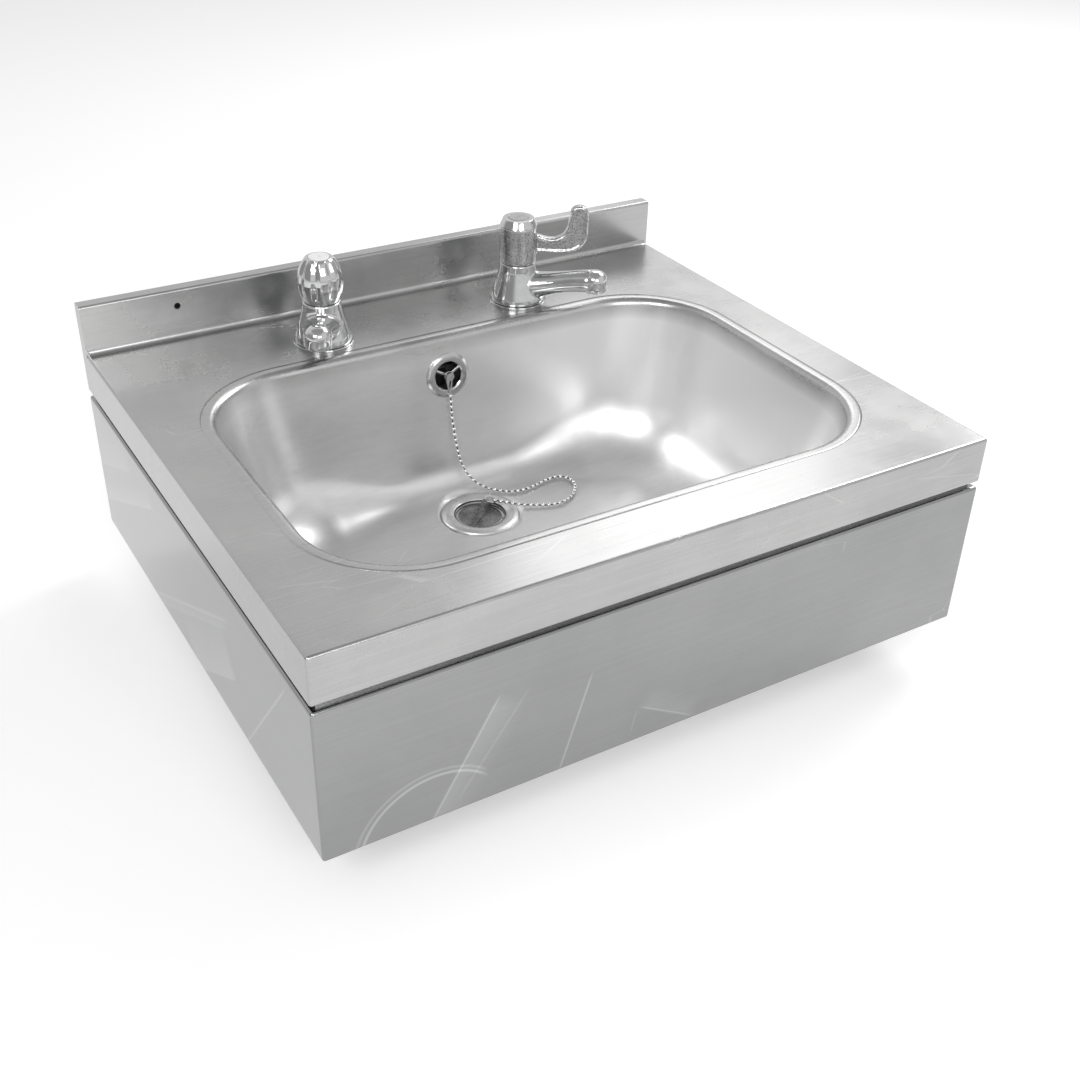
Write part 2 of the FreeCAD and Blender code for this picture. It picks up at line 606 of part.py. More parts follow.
def apron_fixings():
    """Screws up through apron, strip and rim, and their nuts on the rim's return."""
    screws, nuts = [], []
    for i, (x, y) in enumerate(APRON_SCREWS):
        seat = f"{APRON_TOP} - gauge"
        shank = rod(f"shank_{i}", "apron_screw_radius",
                    "apron_screw_length + apron_screw_head_height / 2", x, y,
                    f"{seat} - apron_screw_head_height / 2")
        head = hexagon(f"head_{i}", "apron_screw_head", "apron_screw_head_height", x, y,
                       f"{seat} - apron_screw_head_height")
        screws.append(join(f"screw_{i}", head, shank))
        blank = hexagon(f"nut_blank_{i}", "apron_screw_head", "apron_screw_head_height", x, y,
                        "-rim_height + gauge")
        hole = rod(f"nut_hole_{i}", "apron_screw_hole", "apron_screw_head_height", x, y,
                   "-rim_height + gauge")
        nuts.append(cut(f"nut_{i}", blank, hole))
    named("apron_screws", group("apron_screws_group", screws))
    named("apron_nuts", group("apron_nuts_group", nuts))


RECESS_FLOOR = "-bowl_depth - recess_depth"

named("sink_top", sink_top())
named("bowl", bowl())
named("apron", apron())
named("spacer_strip", spacer_strip())
apron_fixings()


# ---------------------------------------------------------------------------------------------
# Waste: flange and slotted tail, seal, overflow collar, washer and backnut
# ---------------------------------------------------------------------------------------------

FLANGE_SEAT = f"{RECESS_FLOOR} + seal_height"
UNDERSIDE = f"{RECESS_FLOOR} - gauge"
BANJO_TOP = f"{UNDERSIDE} - banjo_washer_height"
BANJO_FOOT = f"{BANJO_TOP} - banjo_height"
NUT_TOP = f"{BANJO_FOOT} - banjo_washer_height"
SPIGOT_LEVEL = f"{BANJO_TOP} - banjo_height / 2"


def waste_body():
    """Flange with a tapered plug seat, and a tail slotted where the collar goes round it."""
    blank = turned("waste_blank", [
        ("waste_bore_radius", 0),
        ("waste_tail_radius", 0),
        ("waste_tail_radius", "waste_trap_length"),
        ("waste_tail_radius - relief_depth", "waste_trap_length"),
        ("waste_tail_radius - relief_depth", "waste_trap_length + relief_width"),
        ("waste_tail_radius", "waste_trap_length + relief_width"),
        ("waste_tail_radius", "waste_tail_length"),
        ("waste_flange_radius", "waste_tail_length"),
        ("waste_flange_radius", "waste_tail_length + waste_flange_height / 3"),
        ("waste_flange_radius - 5", "waste_tail_length + waste_flange_height"),
        ("waste_mouth_radius + 2", "waste_tail_length + waste_flange_height"),
        ("waste_mouth_radius", "waste_tail_length + waste_flange_height - 1"),
        ("waste_bore_radius", "waste_tail_length + waste_flange_height - waste_seat_depth"),
    ])
    at(blank, 0, WASTE_Y, f"{FLANGE_SEAT} - waste_tail_length")
    slots = box("waste_slots", "waste_slot_width", "waste_tail_radius * 2 + 2", "waste_slot_height",
                "-waste_slot_width / 2", f"{WASTE_Y} - waste_tail_radius - 1",
                f"{SPIGOT_LEVEL} - waste_slot_height / 2")
    return cut("waste_body", blank, slots)


def banjo():
    """Collar that gathers the overflow round the slotted tail, with a spigot towards the wall."""
    reach = "banjo_radius + banjo_spigot_length"
    collar = rod("collar_blank", "banjo_radius", "banjo_height", 0, WASTE_Y, BANJO_FOOT)
    spigot = rod("collar_spigot", "spigot_radius", reach, 0, WASTE_Y, SPIGOT_LEVEL, ALONG_Y)
    bore = rod("collar_bore", "waste_tail_radius + thread_gap", "banjo_height", 0, WASTE_Y,
               BANJO_FOOT)
    channel = rod("collar_channel", "banjo_channel_radius", "banjo_height - elbow_wall * 2", 0,
                  WASTE_Y, f"{BANJO_FOOT} + elbow_wall")
    way = rod("collar_way", "spigot_radius - elbow_wall", reach, 0, WASTE_Y, SPIGOT_LEVEL, ALONG_Y)
    return cut("overflow_collar", join("collar_outside", collar, spigot), bore, channel, way)


named("waste_body", waste_body())
named("waste_seal", ring("waste_seal", "seal_radius", "waste_tail_radius + thread_gap",
                         "seal_height", 0, WASTE_Y, RECESS_FLOOR))
named("overflow_collar", banjo())
named("collar_washers", group("collar_washers", [
    ring(f"collar_washer_{i}", "banjo_radius", "waste_tail_radius + thread_gap",
         "banjo_washer_height", 0, WASTE_Y, z)
    for i, z in enumerate((BANJO_TOP, NUT_TOP))
]))
named("waste_backnut", cut(
    "waste_backnut",
    hexagon("waste_nut_blank", "waste_nut_radius", "waste_nut_height", 0, WASTE_Y,
            f"{NUT_TOP} - waste_nut_height"),
    rod("waste_nut_hole", "waste_tail_radius + thread_gap", "waste_nut_height", 0, WASTE_Y,
        f"{NUT_TOP} - waste_nut_height"),
))


# ---------------------------------------------------------------------------------------------
# Overflow: rose, screw, chain stay, gasket, elbow, hose and clips
# ---------------------------------------------------------------------------------------------

# The rose's own frame: Z along the overflow's axis, zero on the bowl's inside face.
ROSE_FRAME = FreeCAD.Placement(OVERFLOW, ROSE_TURN)


def on_rose(thing, height=0):
    """Sets a piece on the overflow's axis, a height out from the bowl's inside face."""
    thing.Placement = FreeCAD.Placement(OVERFLOW + OVERFLOW_AXIS * height, ROSE_FRAME.Rotation)
    return thing


def overflow_rose():
    """Dished ring with a hub on three spokes, seated on the wall."""
    height, opening = S["rose_height"], S["rose_opening_radius"]
    step = S["rose_step"]
    outline = [
        (opening, -S["gauge"]), (S["overflow_hole_radius"] - 0.3, -S["gauge"]),
        (S["overflow_hole_radius"] - 0.3, 0), (S["rose_radius"], 0),
        (S["rose_radius"], height - step * 0.6), (S["rose_radius"] - step, height),
        (opening + 1, height), (opening, height - 1),
    ]
    points = [Vector(radius, 0, level) for radius, level in outline]
    rim = Part.Face(Part.makePolygon(points + points[:1])).revolve(Vector(), Vector(0, 0, 1), 360)
    hub = Part.makeCylinder(S["rose_hub_radius"], height)
    width = S["rose_spoke_width"]
    spokes = []
    for turn in (30, 150, 270):
        spoke = Part.makeBox(opening + 1, width, height - 1, Vector(0, -width / 2, 0))
        spoke.rotate(Vector(), Vector(0, 0, 1), turn)
        spokes.append(spoke)
    hole = Part.makeCylinder(S["rose_screw_radius"] + S["seat_gap"], height)
    return rim.fuse([hub] + spokes).cut(hole).removeSplitter()


def overflow_elbow():
    """Chamber behind the wall with a threaded bridge for the screw, and a spigot that points down."""
    wall, chamber = S["elbow_wall"], S["elbow_radius"]
    face = -S["gauge"] - S["gasket_height"]
    back = face - S["elbow_flange_height"] - S["elbow_depth"]
    depth = face - back
    flange = Part.makeCylinder(S["elbow_flange_radius"], S["elbow_flange_height"],
                               Vector(0, 0, face - S["elbow_flange_height"]))
    shell = Part.makeCylinder(chamber, depth, Vector(0, 0, back))
    hollow = Part.makeCylinder(chamber - wall, depth - wall, Vector(0, 0, back + wall))
    bridge = Part.makeBox(chamber * 2 - wall, 6, 6, Vector(-chamber + wall / 2, -3, back + wall + 6))
    bridge = bridge.cut(Part.makeCylinder(S["rose_screw_radius"], depth, Vector(0, 0, back)))
    return flange.fuse(shell).cut(hollow).fuse(bridge)


def elbow_with_spigot():
    """The chamber turned onto the overflow's axis, with its upright spigot."""
    shape = overflow_elbow()
    shape.Placement = ROSE_FRAME
    length = S["elbow_radius"] + S["elbow_spigot_length"]
    top = Vector(0, HOSE_Y, OVERFLOW.z)
    down = Vector(0, 0, -1)
    spigot = Part.makeCylinder(S["spigot_radius"], length, top, down)
    spigot = spigot.cut(shape_fill(S["elbow_radius"] - S["elbow_wall"]))
    way = Part.makeCylinder(S["spigot_radius"] - S["elbow_wall"], length, top, down)
    return shape.fuse(spigot).cut(way).removeSplitter()


def shape_fill(radius):
    """The elbow's hollow as a solid, to trim the spigot's inner end."""
    length = S["elbow_depth"] * 2.5
    fill = Part.makeCylinder(radius, length, Vector(0, 0, -length))
    fill.Placement = ROSE_FRAME
    return fill


HOSE_DEPTH = S["gauge"] + S["gasket_height"] + S["elbow_flange_height"] + S["elbow_depth"] / 2
HOSE_Y = (OVERFLOW - OVERFLOW_AXIS * HOSE_DEPTH).y
HOSE_TOP = -S["overflow_drop"] - S["elbow_radius"] - S["elbow_spigot_length"] + S["hose_overlap"]
HOSE_END_Y = number(WASTE_Y) + S["banjo_radius"] + S["banjo_spigot_length"] - S["hose_overlap"]
HOSE_LEVEL = number(SPIGOT_LEVEL)


def hose_path(start_z, end_y):
    """Down from the elbow, round one bend and forwards onto the collar's spigot."""
    bend = S["hose_bend_radius"]
    turn = bend * (1 - math.sqrt(0.5))
    upright = Vector(0, HOSE_Y, HOSE_LEVEL + bend)
    level = Vector(0, HOSE_Y - bend, HOSE_LEVEL)
    middle = Vector(0, HOSE_Y - turn, HOSE_LEVEL + turn)
    return Part.Wire([
        Part.LineSegment(Vector(0, HOSE_Y, start_z), upright).toShape(),
        Part.Arc(upright, middle, level).toShape(),
        Part.LineSegment(level, Vector(0, end_y, HOSE_LEVEL)).toShape(),
    ])


def overflow_hose():
    path = hose_path(HOSE_TOP, HOSE_END_Y)
    start = Vector(0, HOSE_Y, HOSE_TOP)
    bore = S["spigot_radius"] + S["seat_gap"]
    pipes = [
        path.makePipe(Part.Face(Part.Wire(Part.Circle(start, Vector(0, 0, 1), radius).toShape())))
        for radius in (bore + S["hose_wall"], bore)
    ]
    return pipes[0].cut(pipes[1])


def hose_clips():
    """A band round each end of the hose, with its screw ear."""
    bands = []
    inner = S["spigot_radius"] + S["seat_gap"] * 2 + S["hose_wall"]
    outer = inner + S["hose_clip_height"]
    width = S["hose_clip_width"]
    margin = 2
    places = (
        (Vector(0, HOSE_Y, HOSE_TOP - margin - width), Vector(0, 0, 1)),
        (Vector(0, HOSE_END_Y + margin, HOSE_LEVEL), Vector(0, 1, 0)),
    )
    for foot, axis in places:
        band = Part.makeCylinder(outer, width, foot, axis)
        ear = Part.makeBox(outer + 5, 4, width)
        ear.translate(Vector(0, -2, 0))
        ear.Placement = FreeCAD.Placement(foot, Rotation(Vector(0, 0, 1), axis)) * ear.Placement
        bands.append(band.fuse(ear).cut(Part.makeCylinder(inner, width, foot, axis)))
    return Part.makeCompound(bands)


def chain_stay():
    """Wire loop that hangs from the overflow screw and narrows to an eye for the chain."""
    wire = S["stay_wire_radius"]
    top = S["rose_screw_radius"] + wire
    half = S["stay_width"] / 2
    corners = [Vector(-half, top, wire), Vector(half, top, wire), Vector(0, -S["stay_drop"], wire)]
    bars = []
    for i, corner in enumerate(corners):
        run = corners[(i + 1) % 3] - corner
        bars.append(Part.makeCylinder(wire, run.Length, corner, run))
        bars.append(Part.makeSphere(wire, corner))
    return bars[0].fuse(bars[1:]).removeSplitter()


SCREW_REACH = number("rose_height + gauge + gasket_height + elbow_flange_height + elbow_depth - 10")
WIRE = 2 * S["stay_wire_radius"]

named("overflow_rose", on_rose(solid("overflow_rose", overflow_rose())))
named("chain_stay", on_rose(solid("chain_stay", chain_stay()), S["rose_height"]))
named("overflow_screw", on_rose(solid("overflow_screw", Part.makeCylinder(
    S["rose_screw_head_radius"], S["rose_screw_head_height"], Vector(0, 0, WIRE)
).fuse(Part.makeCylinder(S["rose_screw_radius"] - 0.05, SCREW_REACH + WIRE, Vector(0, 0, -SCREW_REACH)))),
    S["rose_height"]))
named("overflow_gasket", on_rose(ring("overflow_gasket", "elbow_flange_radius",
                                      "overflow_hole_radius", "gasket_height")))
parts[-1].Placement.Base = OVERFLOW - OVERFLOW_AXIS * (S["gauge"] + S["gasket_height"])
named("overflow_elbow", solid("overflow_elbow", elbow_with_spigot()))
named("overflow_hose", solid("overflow_hose", overflow_hose()))
named("hose_clips", solid("hose_clips", hose_clips()))


# ---------------------------------------------------------------------------------------------
# Taps: two castings with unlike reaches, turned in their holes, and what holds them to the deck
# ---------------------------------------------------------------------------------------------

def bell():
    """The tap's body without its spout: a short foot under a long taper up to the neck."""
    base, edge, height = S["tap_base_radius"], S["tap_base_edge"], S["tap_height"]
    foot = Part.makeCone(base - edge / 2, base, edge)
    return foot.fuse(Part.makeCone(base, S["tap_neck_radius"], height - edge, Vector(0, 0, edge)))


def spout(length):
    """Oval spout that leaves the body in a flare and rises along -Y to the nose."""
    wide, high = S["spout_width"], S["spout_thickness"]
    sections = []
    for reach, level, width, thickness in (
        (S["spout_start"], S["spout_root_height"], S["spout_root_width"], S["spout_root_thickness"]),
        (S["spout_flare"], S["spout_neck_height"], wide, high),
        (length, S["spout_tip_height"], wide, high),
    ):
        oval = Part.Ellipse(Vector(), width / 2, thickness / 2).toShape()
        oval.rotate(Vector(), Vector(1, 0, 0), 90)
        oval.translate(Vector(0, -reach, level))
        sections.append(Part.Wire(oval))
    return Part.makeLoft(sections, True, True)


def nose(reach):
    """Upright end of the spout, domed above and open below."""
    radius, foot = S["nose_radius"], S["outlet_height"]
    shoulder = S["nose_height"] - radius
    end = Part.makeCylinder(radius, shoulder - foot, Vector(0, 0, foot))
    end = end.fuse(Part.makeSphere(radius, Vector(0, 0, shoulder)))
    below = Part.makeBox(radius * 3, radius * 3, radius * 3)
    below.translate(Vector(-radius * 1.5, -radius * 1.5, foot - radius * 3))
    end = end.cut(below)
    end.translate(Vector(0, -reach, 0))
    return end


def waterways(reach):
    """Tail bore up to the valve seat, valve chamber, spout bore and outlet, as one cutter."""
    tail, seat = S["tap_tail_length"], S["tap_seat_height"]
    inlet = Part.makeCylinder(S["tap_inlet_radius"], tail + seat, Vector(0, 0, -tail))
    chamber = Part.makeCylinder(S["tap_chamber_radius"], S["tap_height"] - seat, Vector(0, 0, seat))
    start = Vector(0, 0, S["spout_root_height"] + 3)
    way = Vector(0, -reach, S["spout_tip_height"]) - start
    passage = Part.makeCylinder(S["spout_bore_radius"], way.Length, start, way)
    outlet = Part.makeCylinder(
        S["outlet_radius"], S["spout_tip_height"] - S["outlet_height"],
        Vector(0, -reach, S["outlet_height"]),
    )
    return inlet.fuse([chamber, passage, outlet])


def tail():
    """Threaded tail with a groove between the backnut's thread and the supply pipe's."""
    radius, length = S["tap_tail_radius"], S["tap_tail_length"]
    stem = Part.makeCylinder(radius, length, Vector(0, 0, -length))
    level = Vector(0, 0, S["tap_supply_length"] - length)
    groove = Part.makeCylinder(radius + 1, S["relief_width"], level)
    core = Part.makeCylinder(radius - S["relief_depth"], S["relief_width"], level)
    return stem.cut(groove.cut(core))


def tap_body(reach):
    """One casting: bell, spout and tail, with its waterways cut through."""
    return bell().fuse([spout(reach), nose(reach), tail()]).cut(waterways(reach)).removeSplitter()


DECK_TOP = "base_washer_height"
TAPS = {"left": "-tap_spacing / 2", "right": "tap_spacing / 2"}
TAP_Y = "-tap_wall_distance"


def on_tap(thing, side, height=0, turn=0):
    """Sets a piece on a tap's axis, a height above the tap's base."""
    thing.Placement = FreeCAD.Placement(Vector(), Rotation(Vector(0, 0, 1), turn))
    return at(thing, TAPS[side], TAP_Y, f"{DECK_TOP} + {height}")


for side in TAPS:
    body = solid(f"{side}_tap_body", tap_body(S[f"{side}_spout_reach"]))
    named(f"{side}_tap_body", on_tap(body, side, 0, S[f"{side}_spout_angle"]))

UNDER_DECK = "-gauge"
named("tap_base_washers", group("tap_base_washers", [
    ring(f"{side}_base_washer", "tap_base_radius + 1.5", "tap_tail_radius + thread_gap",
         "base_washer_height", x, TAP_Y, 0) for side, x in TAPS.items()
]))
named("tap_spacers", group("tap_spacers", [
    ring(f"{side}_spacer", "spacer_radius", "tap_tail_radius + thread_gap", "spacer_height", x,
         TAP_Y, f"{UNDER_DECK} - spacer_height") for side, x in TAPS.items()
]))
nuts = []
for side, x in TAPS.items():
    foot = f"{UNDER_DECK} - spacer_height - tap_nut_height"
    nuts.append(cut(
        f"{side}_tap_nut",
        hexagon(f"{side}_tap_nut_blank", "tap_nut_radius", "tap_nut_height", x, TAP_Y, foot),
        rod(f"{side}_tap_nut_hole", "tap_tail_radius + thread_gap", "tap_nut_height", x, TAP_Y, foot),
    ))
named("tap_backnuts", group("tap_backnuts", nuts))


# ---------------------------------------------------------------------------------------------
# Left tap's valve gear: headgear, spindle, jumper and washer under a fluted knob
# ---------------------------------------------------------------------------------------------

NECK = "tap_height"
GEAR_FOOT = f"{NECK} - gear_thread_depth"
GEAR_TOP = f"{NECK} + gear_hex_height + gear_boss_height"


def valve_gear(name, side, cavity_radius, cavity_top):
    """Threaded gear with a hexagon and a boss, bored for the spindle and hollow below."""
    thread = rod(f"{name}_thread", "gear_thread_radius", "gear_thread_depth", 0, 0, GEAR_FOOT)
    hexed = hexagon(f"{name}_hex", "gear_hex_radius", "gear_hex_height", 0, 0, NECK)
    boss = rod(f"{name}_boss", "gear_boss_radius", f"{GEAR_TOP} - ({NECK})", 0, 0, NECK)
    cavity = rod(f"{name}_cavity", cavity_radius, f"{cavity_top} - ({GEAR_FOOT})", 0, 0, GEAR_FOOT)
    bore = rod(f"{name}_bore", "stem_radius + stem_gap", f"{GEAR_TOP} - ({GEAR_FOOT})", 0, 0, GEAR_FOOT)
    return on_tap(cut(name, join(f"{name}_outside", thread, hexed, boss), cavity, bore), side)


VALVE_SEAT = "tap_seat_height"
JUMPER_FOOT = f"{VALVE_SEAT} + valve_washer_height"
DRIVE_FOOT = f"{JUMPER_FOOT} + jumper_plate + valve_lift + 0.5"
HEADGEAR_ROOF = f"{NECK} + 2"

named("left_headgear", valve_gear("left_headgear", "left", "jumper_radius + guide_gap", HEADGEAR_ROOF))
drive = rod("left_drive", "drive_radius", f"{HEADGEAR_ROOF} - 0.2 - ({DRIVE_FOOT})", 0, 0, DRIVE_FOOT)
stem = rod("left_stem", "stem_radius", f"stem_height - ({DRIVE_FOOT})", 0, 0, DRIVE_FOOT)
stem_hole = rod("left_stem_hole", "screw_radius", "handle_screw_length", 0, 0,
                "stem_height - handle_screw_length")
named("left_spindle", on_tap(cut("left_spindle", join("left_spindle_outside", drive, stem), stem_hole), "left"))

jumper = rod("jumper_blank", "jumper_radius", "jumper_plate + jumper_sleeve", 0, 0, JUMPER_FOOT)
jumper_bore = rod("jumper_bore", "drive_radius + drive_gap", "jumper_sleeve", 0, 0,
                  f"{JUMPER_FOOT} + jumper_plate")
named("left_jumper", on_tap(cut("left_jumper", jumper, jumper_bore), "left"))
named("left_valve_washer", on_tap(rod("left_valve_washer", "valve_washer_radius",
                                      "valve_washer_height"), "left", VALVE_SEAT))


def handle_screw():
    """Pan-headed screw that holds a handle down on its spindle; its head rests on the well's floor."""
    shank = Part.makeCylinder(S["screw_radius"] - 0.05, S["handle_screw_length"],
                              Vector(0, 0, -S["handle_screw_length"]))
    head = Part.makeCylinder(S["handle_screw_head_radius"], S["handle_screw_head_height"])
    return head.fuse(shank)


def barrel():
    """Barrel-shaped knob of tapering rings, with shallow upright flutes."""
    height, wide = S["knob_height"], S["knob_radius"]
    belly = S["knob_wide_height"]
    rings = [(S["knob_bottom_radius"], 0), (wide - 0.5, belly / 2), (wide, belly)]
    shoulder = (wide - S["knob_top_radius"]) / 8
    rings += [(wide - shoulder * share, belly + (height - belly) * rise)
              for share, rise in ((1, 0.42), (4, 0.78), (8, 1))]
    outline = [Vector(0, 0, 0)] + [Vector(radius, 0, level) for radius, level in rings]
    outline += [Vector(0, 0, height), Vector(0, 0, 0)]
    knob = Part.Face(Part.makePolygon(outline)).revolve(Vector(), Vector(0, 0, 1), 360)
    away = wide - S["flute_depth"] + S["flute_radius"]
    flute = Part.makeCylinder(S["flute_radius"], height, Vector(away, 0, 0))
    count = int(S["knob_flutes"])
    flutes = []
    for i in range(count):
        groove = flute.copy()
        groove.rotate(Vector(), Vector(0, 0, 1), (i + 0.5) * 360 / count)
        flutes.append(groove)
    return knob.cut(flutes)


def handle_hollow(skirt_radius, skirt_depth, height):
    """The skirt's hollow, the spindle's socket, the screw's way and the index well, as cutters."""
    base = S["tap_height"] + S["knob_gap"]
    stem_top = S["stem_height"] - base
    socket = S["stem_radius"] + S["seat_gap"]
    return [
        Part.makeCylinder(skirt_radius, skirt_depth),
        Part.makeCylinder(socket, stem_top),
        Part.makeCylinder(S["screw_radius"] + S["seat_gap"], height),
        Part.makeCylinder(S["index_radius"] + S["seat_gap"], S["index_well_depth"],
                          Vector(0, 0, height - S["index_well_depth"])),
    ]


HANDLE_BASE = "tap_height + knob_gap"
KNOB_WELL = f"{HANDLE_BASE} + knob_height - index_well_depth"
knob_hollow = handle_hollow(S["knob_skirt_radius"], S["knob_skirt_depth"], S["knob_height"])
named("left_knob", on_tap(solid("left_knob", barrel().cut(knob_hollow)), "left", HANDLE_BASE))
named("left_knob_screw", on_tap(solid("left_knob_screw", handle_screw()), "left", KNOB_WELL))
named("left_index", on_tap(rod("left_index", "index_radius", "index_height"), "left",
                           f"{HANDLE_BASE} + knob_height + index_proud - index_height"))


# ---------------------------------------------------------------------------------------------
# Right tap's valve gear: ceramic cartridge under a wrist lever
# ---------------------------------------------------------------------------------------------

def half_moon_disc():
    """Ceramic disc with one half-moon port."""
    disc = Part.makeCylinder(S["disc_radius"], S["disc_height"])
    port = Part.makeCylinder(S["disc_port_radius"], S["disc_height"], Vector(), Vector(0, 0, 1), 150)
    return disc.cut(port)


SEAL_TOP = "tap_seat_height + seat_seal_height"
FIXED_DISC = f"{SEAL_TOP} + disc_gap"
MOVING_DISC = f"{FIXED_DISC} + disc_height + disc_gap"
SPINDLE_FOOT = f"{MOVING_DISC} + disc_height + disc_gap"
CARTRIDGE_ROOF = f"{NECK} - 2"

cartridge = valve_gear("right_cartridge_gear", "right", "disc_radius + guide_gap", CARTRIDGE_ROOF)
cup = ring("right_cartridge_cup", "gear_thread_radius", "disc_radius + guide_gap",
           f"{GEAR_FOOT} - ({SEAL_TOP})")
on_tap(cup, "right", SEAL_TOP)
named("right_cartridge", join("right_cartridge", cartridge, cup))
named("right_seat_seal", on_tap(ring("right_seat_seal", "seat_seal_radius", "tap_inlet_radius",
                                     "seat_seal_height"), "right", VALVE_SEAT))
named("right_fixed_disc", on_tap(solid("right_fixed_disc", half_moon_disc()), "right", FIXED_DISC, 180))
named("right_moving_disc", on_tap(solid("right_moving_disc", half_moon_disc()), "right", MOVING_DISC))
foot_plate = rod("right_spindle_plate", "disc_radius", f"{CARTRIDGE_ROOF} - 0.2 - ({SPINDLE_FOOT})",
                 0, 0, SPINDLE_FOOT)
stem = rod("right_stem", "stem_radius", f"stem_height - ({SPINDLE_FOOT})", 0, 0, SPINDLE_FOOT)
stem_hole = rod("right_stem_hole", "screw_radius", "handle_screw_length", 0, 0,
                "stem_height - handle_screw_length")
named("right_spindle", on_tap(cut("right_spindle", join("right_spindle_outside", foot_plate, stem), stem_hole),
                              "right"))


def lever_blade():
    """Blade that leaves the hub level, dips and hooks upwards; its outline is lines and arcs."""
    half = S["lever_thickness"] / 2

    def corner(across, up):
        return Vector(across * S["lever_reach"], half, up * S["lever_rise"])

    neck_low, neck_high = corner(0.19, 0.167), corner(0.19, 0.537)
    under, dip, rise = corner(0.441, 0.148), corner(0.647, 0.139), corner(0.809, 0.185)
    heel, end = corner(0.941, 0.315), corner(1, 0.556)
    tip_right, tip, tip_left = corner(0.941, 0.889), corner(0.838, 1), corner(0.75, 0.907)
    inner, valley, neck = corner(0.669, 0.611), corner(0.456, 0.435), corner(0.324, 0.481)
    outline = [
        Part.LineSegment(neck_low, under),
        Part.Arc(under, dip, rise),
        Part.Arc(rise, heel, end),
        Part.LineSegment(end, tip_right),
        Part.Arc(tip_right, tip, tip_left),
        Part.LineSegment(tip_left, inner),
        Part.Arc(inner, valley, neck),
        Part.LineSegment(neck, neck_high),
        Part.LineSegment(neck_high, neck_low),
    ]
    face = Part.Face(Part.Wire([piece.toShape() for piece in outline]))
    return face.extrude(Vector(0, -2 * half, 0))


def lever():
    """Bevelled hub with a hollow skirt, and the blade that leaves it along +X."""
    height, bevel = S["hub_height"], S["hub_bevel_height"]
    hub = Part.makeCylinder(S["hub_radius"], height - bevel)
    cap = Part.makeCone(S["hub_radius"], S["hub_top_radius"], bevel, Vector(0, 0, height - bevel))
    hollow = handle_hollow(S["hub_skirt_radius"], S["hub_skirt_depth"], height)
    return hub.fuse([cap, lever_blade()]).cut(hollow).removeSplitter()


HUB_WELL = f"{HANDLE_BASE} + hub_height - index_well_depth"
named("right_lever", on_tap(solid("right_lever", lever()), "right", HANDLE_BASE, S["lever_angle"]))
named("right_lever_screw", on_tap(solid("right_lever_screw", handle_screw()), "right", HUB_WELL))
named("right_index", on_tap(rod("right_index", "index_radius", "index_height"), "right",
                            f"{HANDLE_BASE} + hub_height + index_proud - index_height"))


# ---------------------------------------------------------------------------------------------
# Plug, its ring and the bead chain
# ---------------------------------------------------------------------------------------------

FLANGE_TOP = number(f"{FLANGE_SEAT} + waste_flange_height")
PLUG_SEAT = FLANGE_TOP + 0.3


def plug():
    """Tapered rubber plug with a finger rib across its head and an eye lug at one end of it."""
    top = S["plug_head_height"]
    taper = Part.makeCone(S["plug_foot_radius"], S["plug_taper_top"], S["plug_taper_height"],
                          Vector(0, 0, -S["plug_taper_height"]))
    head = Part.makeCylinder(S["plug_radius"], top)
    length, width = S["plug_rib_length"], S["plug_rib_width"]
    rib = Part.makeBox(length, width, S["plug_rib_height"], Vector(-length / 2, -width / 2, top))
    rib.rotate(Vector(), Vector(0, 0, 1), S["plug_rib_angle"])
    long, thick = S["lug_length"], S["lug_thickness"]
    lug = Part.makeBox(long, thick, S["lug_height"], Vector(-long / 2, -thick / 2, top))
    eye = Part.makeCylinder(S["lug_eye_radius"], thick, Vector(0, -thick / 2, top + S["lug_eye_height"]),
                            Vector(0, 1, 0))
    lug = lug.cut(eye)
    lug.rotate(Vector(), Vector(0, 0, 1), S["plug_ring_angle"])
    lug.translate(LUG)
    return head.fuse([taper, rib, lug]).cut(lug_hole()).removeSplitter()


def lug_hole():
    """The eye through the lug, as a cutter."""
    thick = S["lug_thickness"]
    hole = Part.makeCylinder(S["lug_eye_radius"], thick * 2,
                             Vector(0, -thick, S["plug_head_height"] + S["lug_eye_height"]),
                             Vector(0, 1, 0))
    hole.rotate(Vector(), Vector(0, 0, 1), S["plug_ring_angle"])
    hole.translate(LUG)
    return hole


def heading(angle):
    """Level direction at an angle from +X, in degrees."""
    return Vector(math.cos(math.radians(angle)), math.sin(math.radians(angle)), 0)


# The lug's foot and the ring, in the plug's own frame: the ring hangs through the eye and leans
# down until its far side rests on the head.
LUG = heading(S["plug_rib_angle"]) * S["lug_offset"]
EYE = LUG + Vector(0, 0, S["plug_head_height"] + S["lug_eye_height"])
RING_LEAN = math.asin((S["lug_eye_height"] - S["ring_wire_radius"]) / (2 * S["plug_ring_radius"]))
RING_WAY = heading(S["plug_ring_angle"]) * math.cos(RING_LEAN) - Vector(0, 0, math.sin(RING_LEAN))


def plug_ring():
    across = heading(S["plug_ring_angle"] + 90)
    centre = EYE + RING_WAY * S["plug_ring_radius"]
    return Part.makeTorus(S["plug_ring_radius"], S["ring_wire_radius"], centre, RING_WAY.cross(across))


